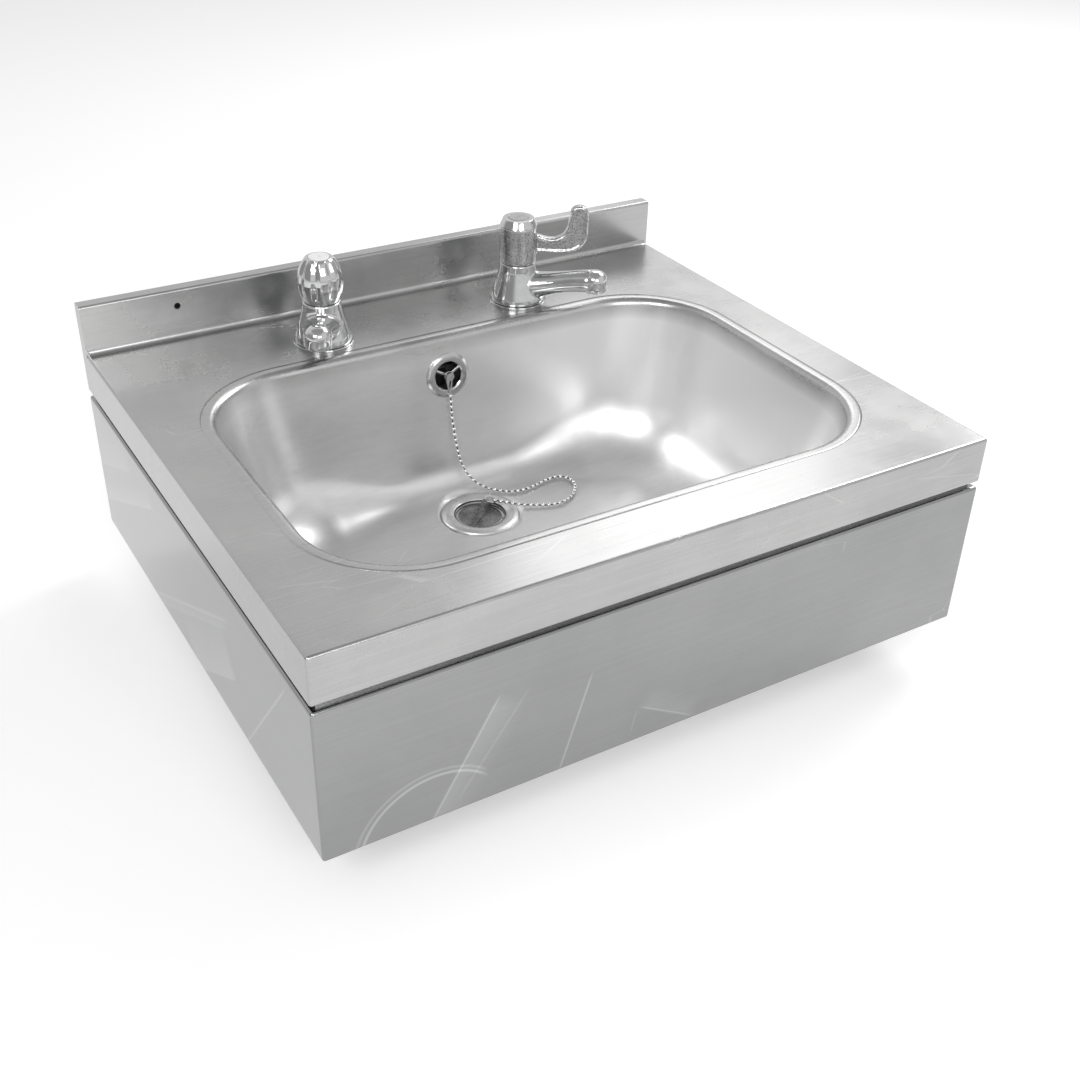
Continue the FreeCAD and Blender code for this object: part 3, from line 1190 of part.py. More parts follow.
def bent_tube(points, radius):
    """A tube along straight runs, joined at each point by the largest arc that its runs allow."""
    edges, radii = [], []
    here = points[0]
    for before, corner, after in zip(points, points[1:], points[2:]):
        back, ahead = (before - corner).normalize(), (after - corner).normalize()
        half_turn = (math.pi - back.getAngle(ahead)) / 2
        reach = 0.45 * min(before.distanceToPoint(corner), corner.distanceToPoint(after))
        bend = reach / math.tan(half_turn)
        start, end = corner + back * reach, corner + ahead * reach
        inwards = (back + ahead).normalize()
        middle = corner + inwards * (bend / math.cos(half_turn) - bend)
        edges += [Part.LineSegment(here, start).toShape(), Part.Arc(start, middle, end).toShape()]
        radii.append(bend)
        here = end
    edges.append(Part.LineSegment(here, points[-1]).toShape())
    path = Part.Wire(edges)
    circle = Part.Wire(Part.Circle(points[0], points[1] - points[0], radius).toShape())
    tube = path.makePipeShell([circle], True, False)
    ideal = math.pi * radius ** 2 * path.Length
    print("bend radii", " ".join(f"{bend:.1f}" for bend in radii))
    print(f"length {path.Length:.1f}, volume {tube.Volume:.1f}, section times length {ideal:.1f}")
    return tube


PLUG_PLACE = Vector(0, number(WASTE_Y), PLUG_SEAT)

# Down the back wall, round its fold, past the waste, round a loose loop and back to the ring.
CHAIN_ROUTE = [
    (0, -133.35, -58.42), (0.4, -133.8, -76), (1.6, -136, -95), (3.5, -138.4, -113),
    (6.5, -141, -130), (13, -147.5, -144.5), (22, -156.5, -152), (31, -166, -153.8),
    (42, -175, -153.9), (56, -178.5, -153.9), (71, -176, -153.8), (86, -171.5, -153.7),
    (99, -171.5, -153.7), (107, -180, -153.6), (106, -192, -153.5), (98.5, -204, -153.2),
    (87, -213.5, -153), (74, -218, -152.9), (61, -215.5, -152.9), (48, -208.5, -152.9),
    (35.5, -201.5, -152.2), (26, -194, -150.65), (18.66, -186.76, -150.45),
]


def plug_chain():
    return bent_tube([Vector(*point) for point in CHAIN_ROUTE], S["chain_radius"])


named("plug", solid("plug", plug()))
named("plug_ring", solid("plug_ring", plug_ring()))
for piece in parts[-2:]:
    piece.Placement.Base = PLUG_PLACE
named("plug_chain", solid("plug_chain", plug_chain()))

doc.recompute()


def problems():
    """Objects that did not recompute, and sub-parts whose shape is missing or not valid."""
    found = [thing.Name for thing in doc.Objects if {"Invalid", "Error"} & set(thing.State)]
    for part in parts:
        if part.Shape.isNull() or not part.Shape.isValid():
            found.append(part.Label)
    return found


faults = problems()
if faults:
    raise RuntimeError("these did not build: " + ", ".join(faults))

os.makedirs("parts", exist_ok=True)
for part in parts:
    part.Shape.exportStep(f"parts/{part.Label}.step")
print(len(parts), "sub-parts written")
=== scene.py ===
"""Stainless steel hand wash sink: the looks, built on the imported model.

Lengths in the modelling functions are millimetres in the sink's own frame: +X to the right, +Y to
the wall, +Z up, from the middle of the wall plane at the level of the deck.  Each piece is scaled
to metres as it is finished.
"""

import json
import math

import bmesh
import bpy
from mathutils import Matrix, Vector

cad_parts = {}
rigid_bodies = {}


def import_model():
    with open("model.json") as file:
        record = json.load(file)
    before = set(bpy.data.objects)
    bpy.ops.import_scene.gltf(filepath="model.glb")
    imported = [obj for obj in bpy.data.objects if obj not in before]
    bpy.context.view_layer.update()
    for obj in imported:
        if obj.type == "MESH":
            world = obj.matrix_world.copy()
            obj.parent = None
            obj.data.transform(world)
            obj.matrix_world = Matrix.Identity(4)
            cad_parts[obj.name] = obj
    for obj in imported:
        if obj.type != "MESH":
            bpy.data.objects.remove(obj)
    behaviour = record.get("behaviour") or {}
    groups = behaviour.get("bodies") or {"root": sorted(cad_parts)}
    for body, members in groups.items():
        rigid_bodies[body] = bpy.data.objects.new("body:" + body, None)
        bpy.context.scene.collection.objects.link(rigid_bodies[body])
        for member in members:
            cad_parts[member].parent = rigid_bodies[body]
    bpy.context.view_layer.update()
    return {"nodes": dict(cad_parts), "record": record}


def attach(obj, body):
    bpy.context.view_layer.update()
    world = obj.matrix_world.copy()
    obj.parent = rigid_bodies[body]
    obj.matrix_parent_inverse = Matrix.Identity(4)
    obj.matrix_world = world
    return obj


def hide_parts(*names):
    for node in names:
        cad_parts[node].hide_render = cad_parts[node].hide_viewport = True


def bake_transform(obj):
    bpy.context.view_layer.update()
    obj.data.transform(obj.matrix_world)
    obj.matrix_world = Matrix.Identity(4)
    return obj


MM = 0.001

for leftover in list(bpy.data.objects):
    bpy.data.objects.remove(leftover)

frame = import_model()
scene = bpy.context.scene
scene.view_settings.view_transform = "Standard"


# ---------------------------------------------------------------------------------------------
# Shader nodes in few words
# ---------------------------------------------------------------------------------------------

def plug_in(tree, socket, value):
    if isinstance(value, bpy.types.NodeSocket):
        tree.links.new(value, socket)
    else:
        socket.default_value = value


def add_node(tree, kind, settings=(), **values):
    """A node of the tree, with settings by attribute and inputs by name or by number."""
    node = tree.nodes.new("ShaderNode" + kind)
    for name, setting in dict(settings).items():
        setattr(node, name, setting)
    for name, value in values.items():
        key = int(name[1:]) if name[0] == "i" and name[1:].isdigit() else name.replace("_", " ")
        plug_in(tree, node.inputs[key], value)
    return node


def add_math(tree, operation, first, second=0.0, clamp=False):
    node = add_node(tree, "Math", {"operation": operation, "use_clamp": clamp}, i0=first, i1=second)
    return node.outputs[0]


def add_range(tree, value, low, high, start=0.0, end=1.0):
    node = add_node(tree, "MapRange", Value=value, From_Min=low, From_Max=high, To_Min=start,
                    To_Max=end)
    return node.outputs["Result"]


def noise_value(tree, vector, scale, detail=2.0, roughness=0.5):
    node = add_node(tree, "TexNoise", Vector=vector, Scale=scale, Detail=detail, Roughness=roughness)
    return node.outputs[0]


def mixed(tree, factor, first, second):
    """The first colour where the factor is 0 and the second where it is 1."""
    mix = add_node(tree, "Mix", {"data_type": "RGBA"}, Factor=factor, i6=first, i7=second)
    return mix.outputs[2]


def blank_material(name, colour, roughness, metallic=0.0, **sockets):
    material = bpy.data.materials.new(name)
    material.use_nodes = True
    shader = material.node_tree.nodes["Principled BSDF"]
    shader.inputs["Base Color"].default_value = (*colour, 1)
    shader.inputs["Roughness"].default_value = roughness
    shader.inputs["Metallic"].default_value = metallic
    for label, value in sockets.items():
        shader.inputs[label.replace("_", " ")].default_value = value
    return material, material.node_tree, shader


# ---------------------------------------------------------------------------------------------
# Camera, floor, light
# ---------------------------------------------------------------------------------------------

CAMERA_PLACE = (-0.5318, -1.1625, 0.5334)
CAMERA_RIGHT = (0.85855886, -0.51218845, 0.02323068)
CAMERA_UP = (0.26262389, 0.47823498, 0.83804534)
CAMERA_LENS = 45.63


def place_camera():
    """Stands where the photograph was taken, above the sink's left front."""
    camera = bpy.data.cameras.new("camera")
    camera.sensor_width = 36
    camera.lens = CAMERA_LENS
    camera.clip_start = 0.05
    camera.clip_end = 60
    holder = bpy.data.objects.new("camera", camera)
    scene.collection.objects.link(holder)
    right, up = Vector(CAMERA_RIGHT), Vector(CAMERA_UP)
    backward = right.cross(up)
    rows = [(*axes, place) for *axes, place in zip(right, up, backward, CAMERA_PLACE)]
    holder.matrix_world = Matrix(rows + [(0, 0, 0, 1)])
    scene.camera = holder


def softbox(name, place, aim, width, height, power):
    """A rectangular lamp at a place, turned to what it aims at."""
    lamp = bpy.data.lights.new(name, "AREA")
    lamp.shape = "RECTANGLE"
    lamp.size = width
    lamp.size_y = height
    lamp.energy = power
    holder = bpy.data.objects.new(name, lamp)
    scene.collection.objects.link(holder)
    holder.location = place
    holder.rotation_euler = (Vector(aim) - Vector(place)).to_track_quat("-Z", "Y").to_euler()


# Where reflections of the studio darken: the axis they turn towards, where on it the dark begins
# and is full, and what share of the light is left there.
DARK_SIDES = (("Z", 0.7, 0.88, 0.5), ("X", -0.55, -0.85, 0.45), ("X", 0.8, 0.95, 0.6))
WORLD_LIGHT = (0.46, 0.46, 0.46, 1)
WORLD_REFLECTED = (0.84, 0.84, 0.84, 1)
BLACK = (0, 0, 0, 1)
WHITE = (1, 1, 1, 1)
FLOOR_LEVEL = -0.2262
FLOOR_SIZE = 14
FLOOR_GLOW = 0.34


def studio_world():
    """Pale studio all round; what metal reflects is darker overhead and at the two sides."""
    world = bpy.data.worlds.new("studio")
    world.use_nodes = True
    scene.world = world
    tree = world.node_tree
    tree.nodes.clear()
    way = add_node(tree, "SeparateXYZ", Vector=add_node(tree, "TexCoord").outputs["Generated"])
    shade = None
    for axis, start, end, least in DARK_SIDES:
        dim = add_node(tree, "MapRange", {"interpolation_type": "SMOOTHSTEP"}, Value=way.outputs[axis],
                       From_Min=start, From_Max=end, To_Min=1, To_Max=least).outputs["Result"]
        shade = dim if shade is None else add_math(tree, "MULTIPLY", shade, dim)
    path = add_node(tree, "LightPath").outputs
    reflected = mixed(tree, shade, BLACK, WORLD_REFLECTED)
    lit = mixed(tree, path["Is Glossy Ray"], WORLD_LIGHT, reflected)
    seen = add_math(tree, "MAXIMUM", path["Is Camera Ray"], path["Is Transmission Ray"])
    light = add_node(tree, "Background", Color=mixed(tree, seen, lit, WHITE))
    out = add_node(tree, "OutputWorld")
    tree.links.new(light.outputs["Background"], out.inputs["Surface"])


def studio_floor():
    """White floor below the waste's tail; it keeps the sink's soft shadow."""
    bm = bmesh.new()
    bmesh.ops.create_grid(bm, x_segments=1, y_segments=1, size=FLOOR_SIZE)
    bmesh.ops.translate(bm, verts=bm.verts, vec=(0, 0, FLOOR_LEVEL))
    mesh = bpy.data.meshes.new("floor")
    bm.to_mesh(mesh)
    bm.free()
    floor = bpy.data.objects.new("floor", mesh)
    scene.collection.objects.link(floor)
    material, tree, shader = blank_material("floor", (0.78, 0.78, 0.78), 0.9, Specular_IOR_Level=0,
                                            Emission_Color=WHITE)
    path = add_node(tree, "LightPath").outputs
    seen = add_math(tree, "MAXIMUM", path["Is Camera Ray"], path["Is Glossy Ray"])
    seen = add_math(tree, "MAXIMUM", seen, path["Is Transmission Ray"])
    tree.links.new(add_math(tree, "MULTIPLY", seen, FLOOR_GLOW), shader.inputs["Emission Strength"])
    mesh.materials.append(material)


# ---------------------------------------------------------------------------------------------
# Shader groups shared by the finishes
# ---------------------------------------------------------------------------------------------

class Group:
    """A shader node group under construction, with a few shorthands."""

    def __init__(self, name, inputs, outputs):
        self.tree = bpy.data.node_groups.new(name, "ShaderNodeTree")
        for label, kind, value in inputs:
            socket = self.tree.interface.new_socket(label, in_out="INPUT", socket_type="NodeSocket" + kind)
            if value is not None:
                socket.default_value = value
        for label, kind in outputs:
            self.tree.interface.new_socket(label, in_out="OUTPUT", socket_type="NodeSocket" + kind)
        self.given = self.tree.nodes.new("NodeGroupInput")
        self.result = self.tree.nodes.new("NodeGroupOutput")

    def node(self, kind, settings=(), **values):
        return add_node(self.tree, kind, settings, **values)

    def math(self, operation, first, second=0.0, clamp=False):
        return add_math(self.tree, operation, first, second, clamp)

    def mapped(self, value, low, high, start=0.0, end=1.0):
        return add_range(self.tree, value, low, high, start, end)


def grain_group():
    """Fine polishing grain that runs one way, with cloudy patches where the sheen changes."""
    group = Group("polishing_grain", [
        ("Stretch", "Vector", (9.0, 420.0, 420.0)),
        ("Patches", "Float", 9.0),
    ], [("Grain", "Float"), ("Cloud", "Float")])
    place = group.node("TexCoord").outputs["Object"]
    along = group.node("VectorMath", {"operation": "MULTIPLY"}, i0=place, i1=group.given.outputs["Stretch"])
    lines = noise_value(group.tree, along.outputs[0], 1.0, 3.0, 0.6)
    fine = noise_value(group.tree, place, 900.0, 2.0, 0.7)
    grain = group.math("ADD", group.math("MULTIPLY", lines, 0.65), group.math("MULTIPLY", fine, 0.35))
    clouds = group.node("TexNoise", Vector=place, Scale=group.given.outputs["Patches"], Detail=5.0,
                        Roughness=0.62)
    group.tree.links.new(grain, group.result.inputs["Grain"])
    group.tree.links.new(clouds.outputs[0], group.result.inputs["Cloud"])
    return group.tree


def marks_group():
    """Wear of daily use: hairline scratches in a few directions and dried specks of water."""
    group = Group("scratches_and_specks", [
        ("Scratch Scale", "Float", 14.0),
        ("Speck Scale", "Float", 260.0),
    ], [("Scratches", "Float"), ("Specks", "Float")])
    place = group.node("TexCoord").outputs["Object"]
    found = None
    for turn, size in ((0.35, 1.0), (1.45, 1.37), (2.5, 0.81)):
        turned = group.node("Mapping", Vector=place, Rotation=(0.2 * turn, 0.3, turn),
                            Scale=(0.35, 3.2, 3.2))
        size_here = group.math("MULTIPLY", group.given.outputs["Scratch Scale"], size)
        cells = group.node("TexVoronoi", {"feature": "DISTANCE_TO_EDGE"}, Vector=turned.outputs[0],
                           Scale=size_here)
        line = add_range(group.tree, cells.outputs["Distance"], 0.0, 0.009, 1.0, 0.0)
        patch = noise_value(group.tree, turned.outputs[0], 3.1 * size, 2.0)
        line = group.math("MULTIPLY", line, group.mapped(patch, 0.56, 0.68))
        found = line if found is None else group.math("MAXIMUM", found, line)
    dots = group.node("TexVoronoi", {"feature": "F1"}, Vector=place,
                      Scale=group.given.outputs["Speck Scale"], Randomness=1.0)
    dot = group.mapped(dots.outputs["Distance"], 0.05, 0.17, 1.0, 0.0)
    chosen = group.node("SeparateColor", Color=dots.outputs["Color"])
    sparse = group.mapped(chosen.outputs[0], 0.92, 0.94)
    where = group.mapped(noise_value(group.tree, place, 11.0, 3.0), 0.45, 0.62)
    specks = group.math("MULTIPLY", group.math("MULTIPLY", dot, sparse), where)
    group.tree.links.new(found, group.result.inputs["Scratches"])
    group.tree.links.new(specks, group.result.inputs["Specks"])
    return group.tree


def waves_group():
    """The slow unevenness of thin sheet, which bends what it reflects."""
    group = Group("sheet_waves", [("Length", "Float", 6.0)], [("Height", "Float")])
    place = group.node("TexCoord").outputs["Object"]
    slow = group.node("TexNoise", Vector=place, Scale=group.given.outputs["Length"], Detail=1.5,
                      Roughness=0.4)
    group.tree.links.new(slow.outputs[0], group.result.inputs["Height"])
    return group.tree


GRAIN = grain_group()
MARKS = marks_group()
WAVES = waves_group()


def placed(tree, group, **values):
    node = tree.nodes.new("ShaderNodeGroup")
    node.node_tree = group
    for name, value in values.items():
        plug_in(tree, node.inputs[name.replace("_", " ")], value)
    return node


def two_tone(tree, mask, dark, light):
    return mixed(tree, mask, (*dark, 1), (*light, 1))


def bumped(tree, shader, height, strength, distance, under=None):
    bump = add_node(tree, "Bump", Height=height, Strength=strength, Distance=distance)
    if under is not None:
        tree.links.new(under, bump.inputs["Normal"])
    tree.links.new(bump.outputs["Normal"], shader.inputs["Normal"])
    return bump.outputs["Normal"]


# Painted reflections on the apron, as light streaks: straight ones as (face, start, end, fade, strength), and
# curved ones as (centre, radius, strength).
PAINTED_STREAKS = [
    ("front", (-0.1576, -0.084), (-0.217, -0.1857), 0.0022, 0.75),
    ("front", (-0.217, -0.1857), (-0.1576, -0.084), 0.03, 0.34),
    ("front", (-0.1329, -0.0865), (-0.1946, -0.1724), 0.0018, 0.3),
    ("front", (-0.0798, -0.0933), (-0.1077, -0.1843), 0.002, 0.8),
    ("front", (-0.0377, -0.1457), (0.0199, -0.1786), 0.0016, 0.6),
    ("front", (-0.0431, -0.1748), (-0.0377, -0.1457), 0.0016, 0.35),
    ("front", (0.0199, -0.1786), (-0.0377, -0.1457), 0.02, 0.25),
    ("left", (-0.2413, -0.1919), (-0.3557, -0.1274), 0.05, 0.55),
    ("left", (-0.3497, -0.1994), (-0.4675, -0.0555), 0.0024, 0.7),
    ("left", (-0.2935, -0.1963), (-0.3497, -0.1994), 0.03, 0.4),
    ("left", (-0.1424, -0.1775), (-0.3509, -0.0758), 0.004, 0.5),
    ("left", (-0.1376, -0.1893), (-0.3483, -0.0849), 0.012, 0.3),
    ("left", (0.0047, -0.157), (-0.1741, -0.0735), 0.02, 0.4),
    ("left", (0.0165, -0.1222), (-0.1122, -0.0695), 0.03, 0.3),
]
PAINTED_ARCS = [((-0.212, 0, -0.2), 0.061, 0.8), ((-0.213, 0, -0.199), 0.0645, 0.4)]


def painted_reflections_group():
    """Painted reflections on bright sheet: light streaks, straight ones with one sharp edge, and curved ones.

    A straight streak is given by the face it lies on, its start and end on that face, how far it
    fades away to the right of that line, and its strength.
    """
    group = Group("painted_reflection_streaks", [], [("Painted Reflections", "Float")])
    place = group.node("TexCoord").outputs["Object"]
    apart = group.node("SeparateXYZ", Vector=place)
    there = {"front": group.mapped(apart.outputs["Y"], -0.44, -0.5),
             "left": group.mapped(apart.outputs["X"], -0.26, -0.296)}
    found = 0.0
    for face, start, end, fade, strength in PAINTED_STREAKS:
        ahead = Vector(end) - Vector(start)
        length = ahead.length
        ahead.normalize()
        aside = Vector((ahead.y, -ahead.x))
        spots = []
        for way, shift in ((ahead, ahead.dot(Vector(start))), (aside, aside.dot(Vector(start)))):
            line = (way.x, 0, way.y) if face == "front" else (0, way.x, way.y)
            along = group.node("VectorMath", {"operation": "DOT_PRODUCT"}, i0=place, i1=line)
            spots.append(group.math("SUBTRACT", along.outputs["Value"], shift))
        mask = group.mapped(spots[0], 0, 0.012)
        mask = group.math("MULTIPLY", mask, group.mapped(spots[0], length - 0.012, length, 1, 0))
        mask = group.math("MULTIPLY", mask, group.mapped(spots[1], -0.0008, 0.0))
        mask = group.math("MULTIPLY", mask, group.mapped(spots[1], 0, fade, strength, 0))
        found = group.math("ADD", found, group.math("MULTIPLY", mask, there[face]))
    for centre, radius, strength in PAINTED_ARCS:
        flat = group.node("VectorMath", {"operation": "MULTIPLY"}, i0=place, i1=(1, 0, 1))
        away = group.node("VectorMath", {"operation": "DISTANCE"}, i0=flat.outputs[0], i1=centre)
        off = group.math("ABSOLUTE", group.math("SUBTRACT", away.outputs["Value"], radius))
        mask = group.math("MULTIPLY", group.mapped(off, 0.0004, 0.0018, strength, 0), there["front"])
        mask = group.math("MULTIPLY", mask, group.mapped(apart.outputs["X"], -0.176, -0.168, 1, 0))
        found = group.math("ADD", found, mask)
    group.tree.links.new(found, group.result.inputs["Painted Reflections"])
    return group.tree


PAINTED_REFLECTIONS = painted_reflections_group()


def sheet_steel(name, dark, light, smooth, rough, stretch, grain_depth, wave_depth, wave_length=6.0,
                scratch_lift=0.09, painted_reflection_lift=0.0, sunk_painted_light=None):
    """Polished stainless sheet: directional grain, cloudy sheen, hairlines, specks and slow waves.

    Where the sheet is pressed down below the deck it may have other tones, given by the last
    argument: dark and light colour, smooth and rough sheen, and how much of it is bare metal.
    These colours are lighter than the deck's: painted light inside the bowl.  The walls at its
    right get a painted highlight, a colour lighter than the rest.  Painted reflection streaks may
    lighten the colour too, by their given strength.
    """
    material, tree, shader = blank_material(name, light, rough, 1.0)
    grain = placed(tree, GRAIN, Stretch=stretch)
    marks = placed(tree, MARKS)
    tone = add_math(tree, "ADD", add_math(tree, "MULTIPLY", grain.outputs["Grain"], 0.45),
                    add_math(tree, "MULTIPLY", grain.outputs["Cloud"], 0.55))
    tone = add_range(tree, tone, 0.36, 0.64)
    colour = two_tone(tree, tone, dark, light)
    sheen = add_range(tree, grain.outputs["Cloud"], 0.35, 0.65, smooth, rough)
    # Below the deck the colour is painted lighter than the deck's: painted light inside the bowl.
    if sunk_painted_light:
        low_dark, low_light, low_smooth, low_rough, metal = sunk_painted_light
        height = add_node(tree, "SeparateXYZ", Vector=add_node(tree, "TexCoord").outputs["Object"])
        below = add_range(tree, height.outputs["Z"], -0.001, -0.02)
        low = two_tone(tree, tone, low_dark, low_light)
        # Painted highlight: the bowl's right walls get a lighter colour.
        painted_highlight_mask = add_math(tree, "MULTIPLY", add_range(tree, height.outputs["X"], -0.03, 0.13),
                        add_range(tree, height.outputs["Z"], -0.15, -0.11))
        low = mixed(tree, painted_highlight_mask, low, tuple(min(1.0, value * 1.32) for value in low_light) + (1,))
        colour = mixed(tree, below, colour, low)
        low_sheen = add_range(tree, grain.outputs["Cloud"], 0.35, 0.65, low_smooth, low_rough)
        sheen = add_node(tree, "Mix", Factor=below, i2=sheen, i3=low_sheen).outputs[0]
        tree.links.new(add_range(tree, below, 0.0, 1.0, 1.0, metal), shader.inputs["Metallic"])
    faint_specks = add_math(tree, "MULTIPLY", marks.outputs["Specks"], 0.3)
    worn = add_math(tree, "MAXIMUM", marks.outputs["Scratches"], faint_specks)
    worn = add_math(tree, "MULTIPLY", worn, scratch_lift * 3)
    # Painted reflection streaks are added to the wear here and lighten the colour with it.
    if painted_reflection_lift:
        painted_reflection = placed(tree, PAINTED_REFLECTIONS)
        painted_reflection = add_math(tree, "MULTIPLY", painted_reflection.outputs["Painted Reflections"], painted_reflection_lift)
        worn = add_math(tree, "ADD", worn, painted_reflection, True)
    brighter = tuple(min(1.0, value * 1.7 + 0.05) for value in light)
    tree.links.new(mixed(tree, worn, colour, (*brighter, 1)), shader.inputs["Base Color"])
    sheen = add_math(tree, "ADD", sheen, add_math(tree, "MULTIPLY", worn, 0.1))
    tree.links.new(sheen, shader.inputs["Roughness"])
    waves = placed(tree, WAVES, Length=wave_length)
    slow = bumped(tree, shader, waves.outputs["Height"], 1.0, wave_depth)
    fine = add_math(tree, "SUBTRACT", grain.outputs["Grain"],
                    add_math(tree, "MULTIPLY", marks.outputs["Scratches"], 0.3))
    bumped(tree, shader, fine, 1.0, grain_depth, slow)
    return material


DEEP_PITS = 0.0001
LEAST_PITS = 0.000004
DUST = 0.12


def bright_metal(name, colour, smooth, rough, pit_depth=0.0, pit_scale=700.0, metal=1.0):
    """Plated or bare metal with a slightly varying polish, water marks and, where cast, small pits."""
    material, tree, shader = blank_material(name, colour, rough, metal)
    place = add_node(tree, "TexCoord").outputs["Object"]
    cloud = noise_value(tree, place, 60.0, 4.0, 0.6)
    marks = placed(tree, MARKS, Speck_Scale=420.0, Scratch_Scale=60.0)
    dull = add_range(tree, cloud, 0.35, 0.68, smooth, rough)
    worn = add_math(tree, "MAXIMUM", marks.outputs["Scratches"], marks.outputs["Specks"])
    dull = add_math(tree, "ADD", dull, add_math(tree, "MULTIPLY", worn, DUST))
    tree.links.new(dull, shader.inputs["Roughness"])
    dark = tuple(value * 0.86 for value in colour)
    colours = two_tone(tree, add_range(tree, cloud, 0.3, 0.7), dark, colour)
    pits = noise_value(tree, place, pit_scale, 2.0, 0.6)
    if pit_depth > DEEP_PITS:
        pitted = (*(value * 0.45 for value in colour), 1)
        colours = mixed(tree, add_range(tree, pits, 0.36, 0.54), pitted, colours)
    tree.links.new(colours, shader.inputs["Base Color"])
    bumped(tree, shader, pits, 1.0, max(pit_depth, LEAST_PITS))
    return material


def moulded(name, dark, light, rough, scale=500.0, depth=0.00002, coat=0.0):
    """Moulded rubber or plastic: speckled colour and a fine leathery surface."""
    material, tree, shader = blank_material(name, light, rough, 0.0, Coat_Weight=coat)
    place = add_node(tree, "TexCoord").outputs["Object"]
    speckle = noise_value(tree, place, scale, 4.0, 0.7)
    patch = noise_value(tree, place, scale * 0.06, 3.0, 0.6)
    tone = add_math(tree, "ADD", add_math(tree, "MULTIPLY", speckle, 0.6),
                    add_math(tree, "MULTIPLY", patch, 0.4))
    tones = two_tone(tree, add_range(tree, tone, 0.4, 0.62), dark, light)
    tree.links.new(tones, shader.inputs["Base Color"])
    sheen = add_range(tree, patch, 0.3, 0.7, rough - 0.08, rough + 0.08)
    tree.links.new(sheen, shader.inputs["Roughness"])
    bumped(tree, shader, speckle, 1.0, depth)
    return material


FINISH = {
    "steel": sheet_steel("satin_deck_steel", (0.4, 0.402, 0.4), (0.5, 0.502, 0.498), 0.22, 0.31,
                         (7.0, 520.0, 520.0), 0.00001, 0.0003),
    # The bowl's last tones are lighter than the deck's: painted light inside the bowl.
    "bowl": sheet_steel("satin_bowl_steel", (0.4, 0.402, 0.4), (0.5, 0.502, 0.498), 0.22, 0.31,
                        (40.0, 240.0, 240.0), 0.000008, 0.0004, 9.0, 0.1, 0.0,
                        ((0.6, 0.601, 0.6), (0.7, 0.701, 0.7), 0.3, 0.4, 0.88)),
    # Apron: smoother polish, a base colour darker than the deck's as painted shade, and painted reflection
    # streaks.
    "apron": sheet_steel("mirror_apron_steel_painted_shade", (0.305, 0.307, 0.308), (0.345, 0.346, 0.347), 0.08, 0.15,
                         (7.0, 520.0, 520.0), 0.000003, 0.0005, 4.0, 0.08, 0.55),
    "dark_steel": bright_metal("plain_fixing_steel", (0.24, 0.24, 0.245), 0.35, 0.5, 0.00002),
    "screw_steel": bright_metal("plated_screw_steel", (0.5, 0.5, 0.5), 0.25, 0.38, 0.00001),
    "rose_steel": bright_metal("pressed_rose_steel", (0.55, 0.55, 0.55), 0.12, 0.24, 0.00001),
    "satin_waste": bright_metal("satin_waste_flange", (0.66, 0.66, 0.658), 0.26, 0.36, 0.00001,
                                metal=0.8),
    "waste_chrome": bright_metal("worn_waste_chrome", (0.55, 0.55, 0.555), 0.12, 0.28, 0.00001),
    "chrome": bright_metal("bright_chrome", (0.64, 0.642, 0.645), 0.03, 0.09),
    "lever_chrome": bright_metal("cast_lever_chrome", (0.62, 0.62, 0.622), 0.14, 0.26, 0.00016, 620.0),
    # The links' near-black colour is painted shade between the beads.
    "chain_chrome": bright_metal("bead_chrome", (0.7, 0.7, 0.705), 0.05, 0.12),
    "link_steel": bright_metal("painted_shade_link_steel", (0.12, 0.12, 0.122), 0.3, 0.42),
    "brass": bright_metal("turned_brass", (0.6, 0.43, 0.18), 0.22, 0.36, 0.00001),
    "plug_rubber": moulded("speckled_plug_rubber", (0.03, 0.03, 0.03), (0.26, 0.26, 0.258), 0.6,
                           1100.0, 0.0001),
    "seal_rubber": moulded("plain_seal_rubber", (0.025, 0.025, 0.025), (0.05, 0.05, 0.05), 0.6),
    "black_plastic": moulded("black_moulded_plastic", (0.03, 0.03, 0.032), (0.06, 0.06, 0.062), 0.42),
    "hose_plastic": moulded("grey_hose_plastic", (0.34, 0.35, 0.355), (0.42, 0.43, 0.435), 0.5),
    "white_plastic": moulded("white_moulded_plastic", (0.68, 0.68, 0.67), (0.78, 0.78, 0.77), 0.4),
    "white_index": moulded("white_index_plastic", (0.78, 0.78, 0.77), (0.86, 0.86, 0.85), 0.3,
                           300.0, 0.00001, 0.4),
    "grey_index": moulded("grey_index_plastic", (0.3, 0.3, 0.305), (0.38, 0.38, 0.385), 0.35,
                          300.0, 0.00001, 0.3),
    "ceramic": moulded("lapped_ceramic", (0.78, 0.76, 0.73), (0.86, 0.85, 0.82), 0.2, 300.0, 0.000005),
}


def finish_frame():
    """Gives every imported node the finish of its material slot."""
    own = {"bowl": "bowl", "apron": "apron", "spacer_strip": "steel"}
    for part in frame["record"]["subparts"]:
        name = part["node"]
        node = frame["nodes"][name]
        material = FINISH[own.get(name, part["material_slot"])]
        node.data.materials.clear()
        node.data.materials.append(material)


# ---------------------------------------------------------------------------------------------
# Making pieces
# ---------------------------------------------------------------------------------------------

def add(bm, part, place=Matrix()):
    """Sets a finished part into a piece."""
    mesh = bpy.data.meshes.new("part")
    part.to_mesh(mesh)
    part.free()
    mesh.transform(place)
    bm.from_mesh(mesh)
    bpy.data.meshes.remove(mesh)
    return bm


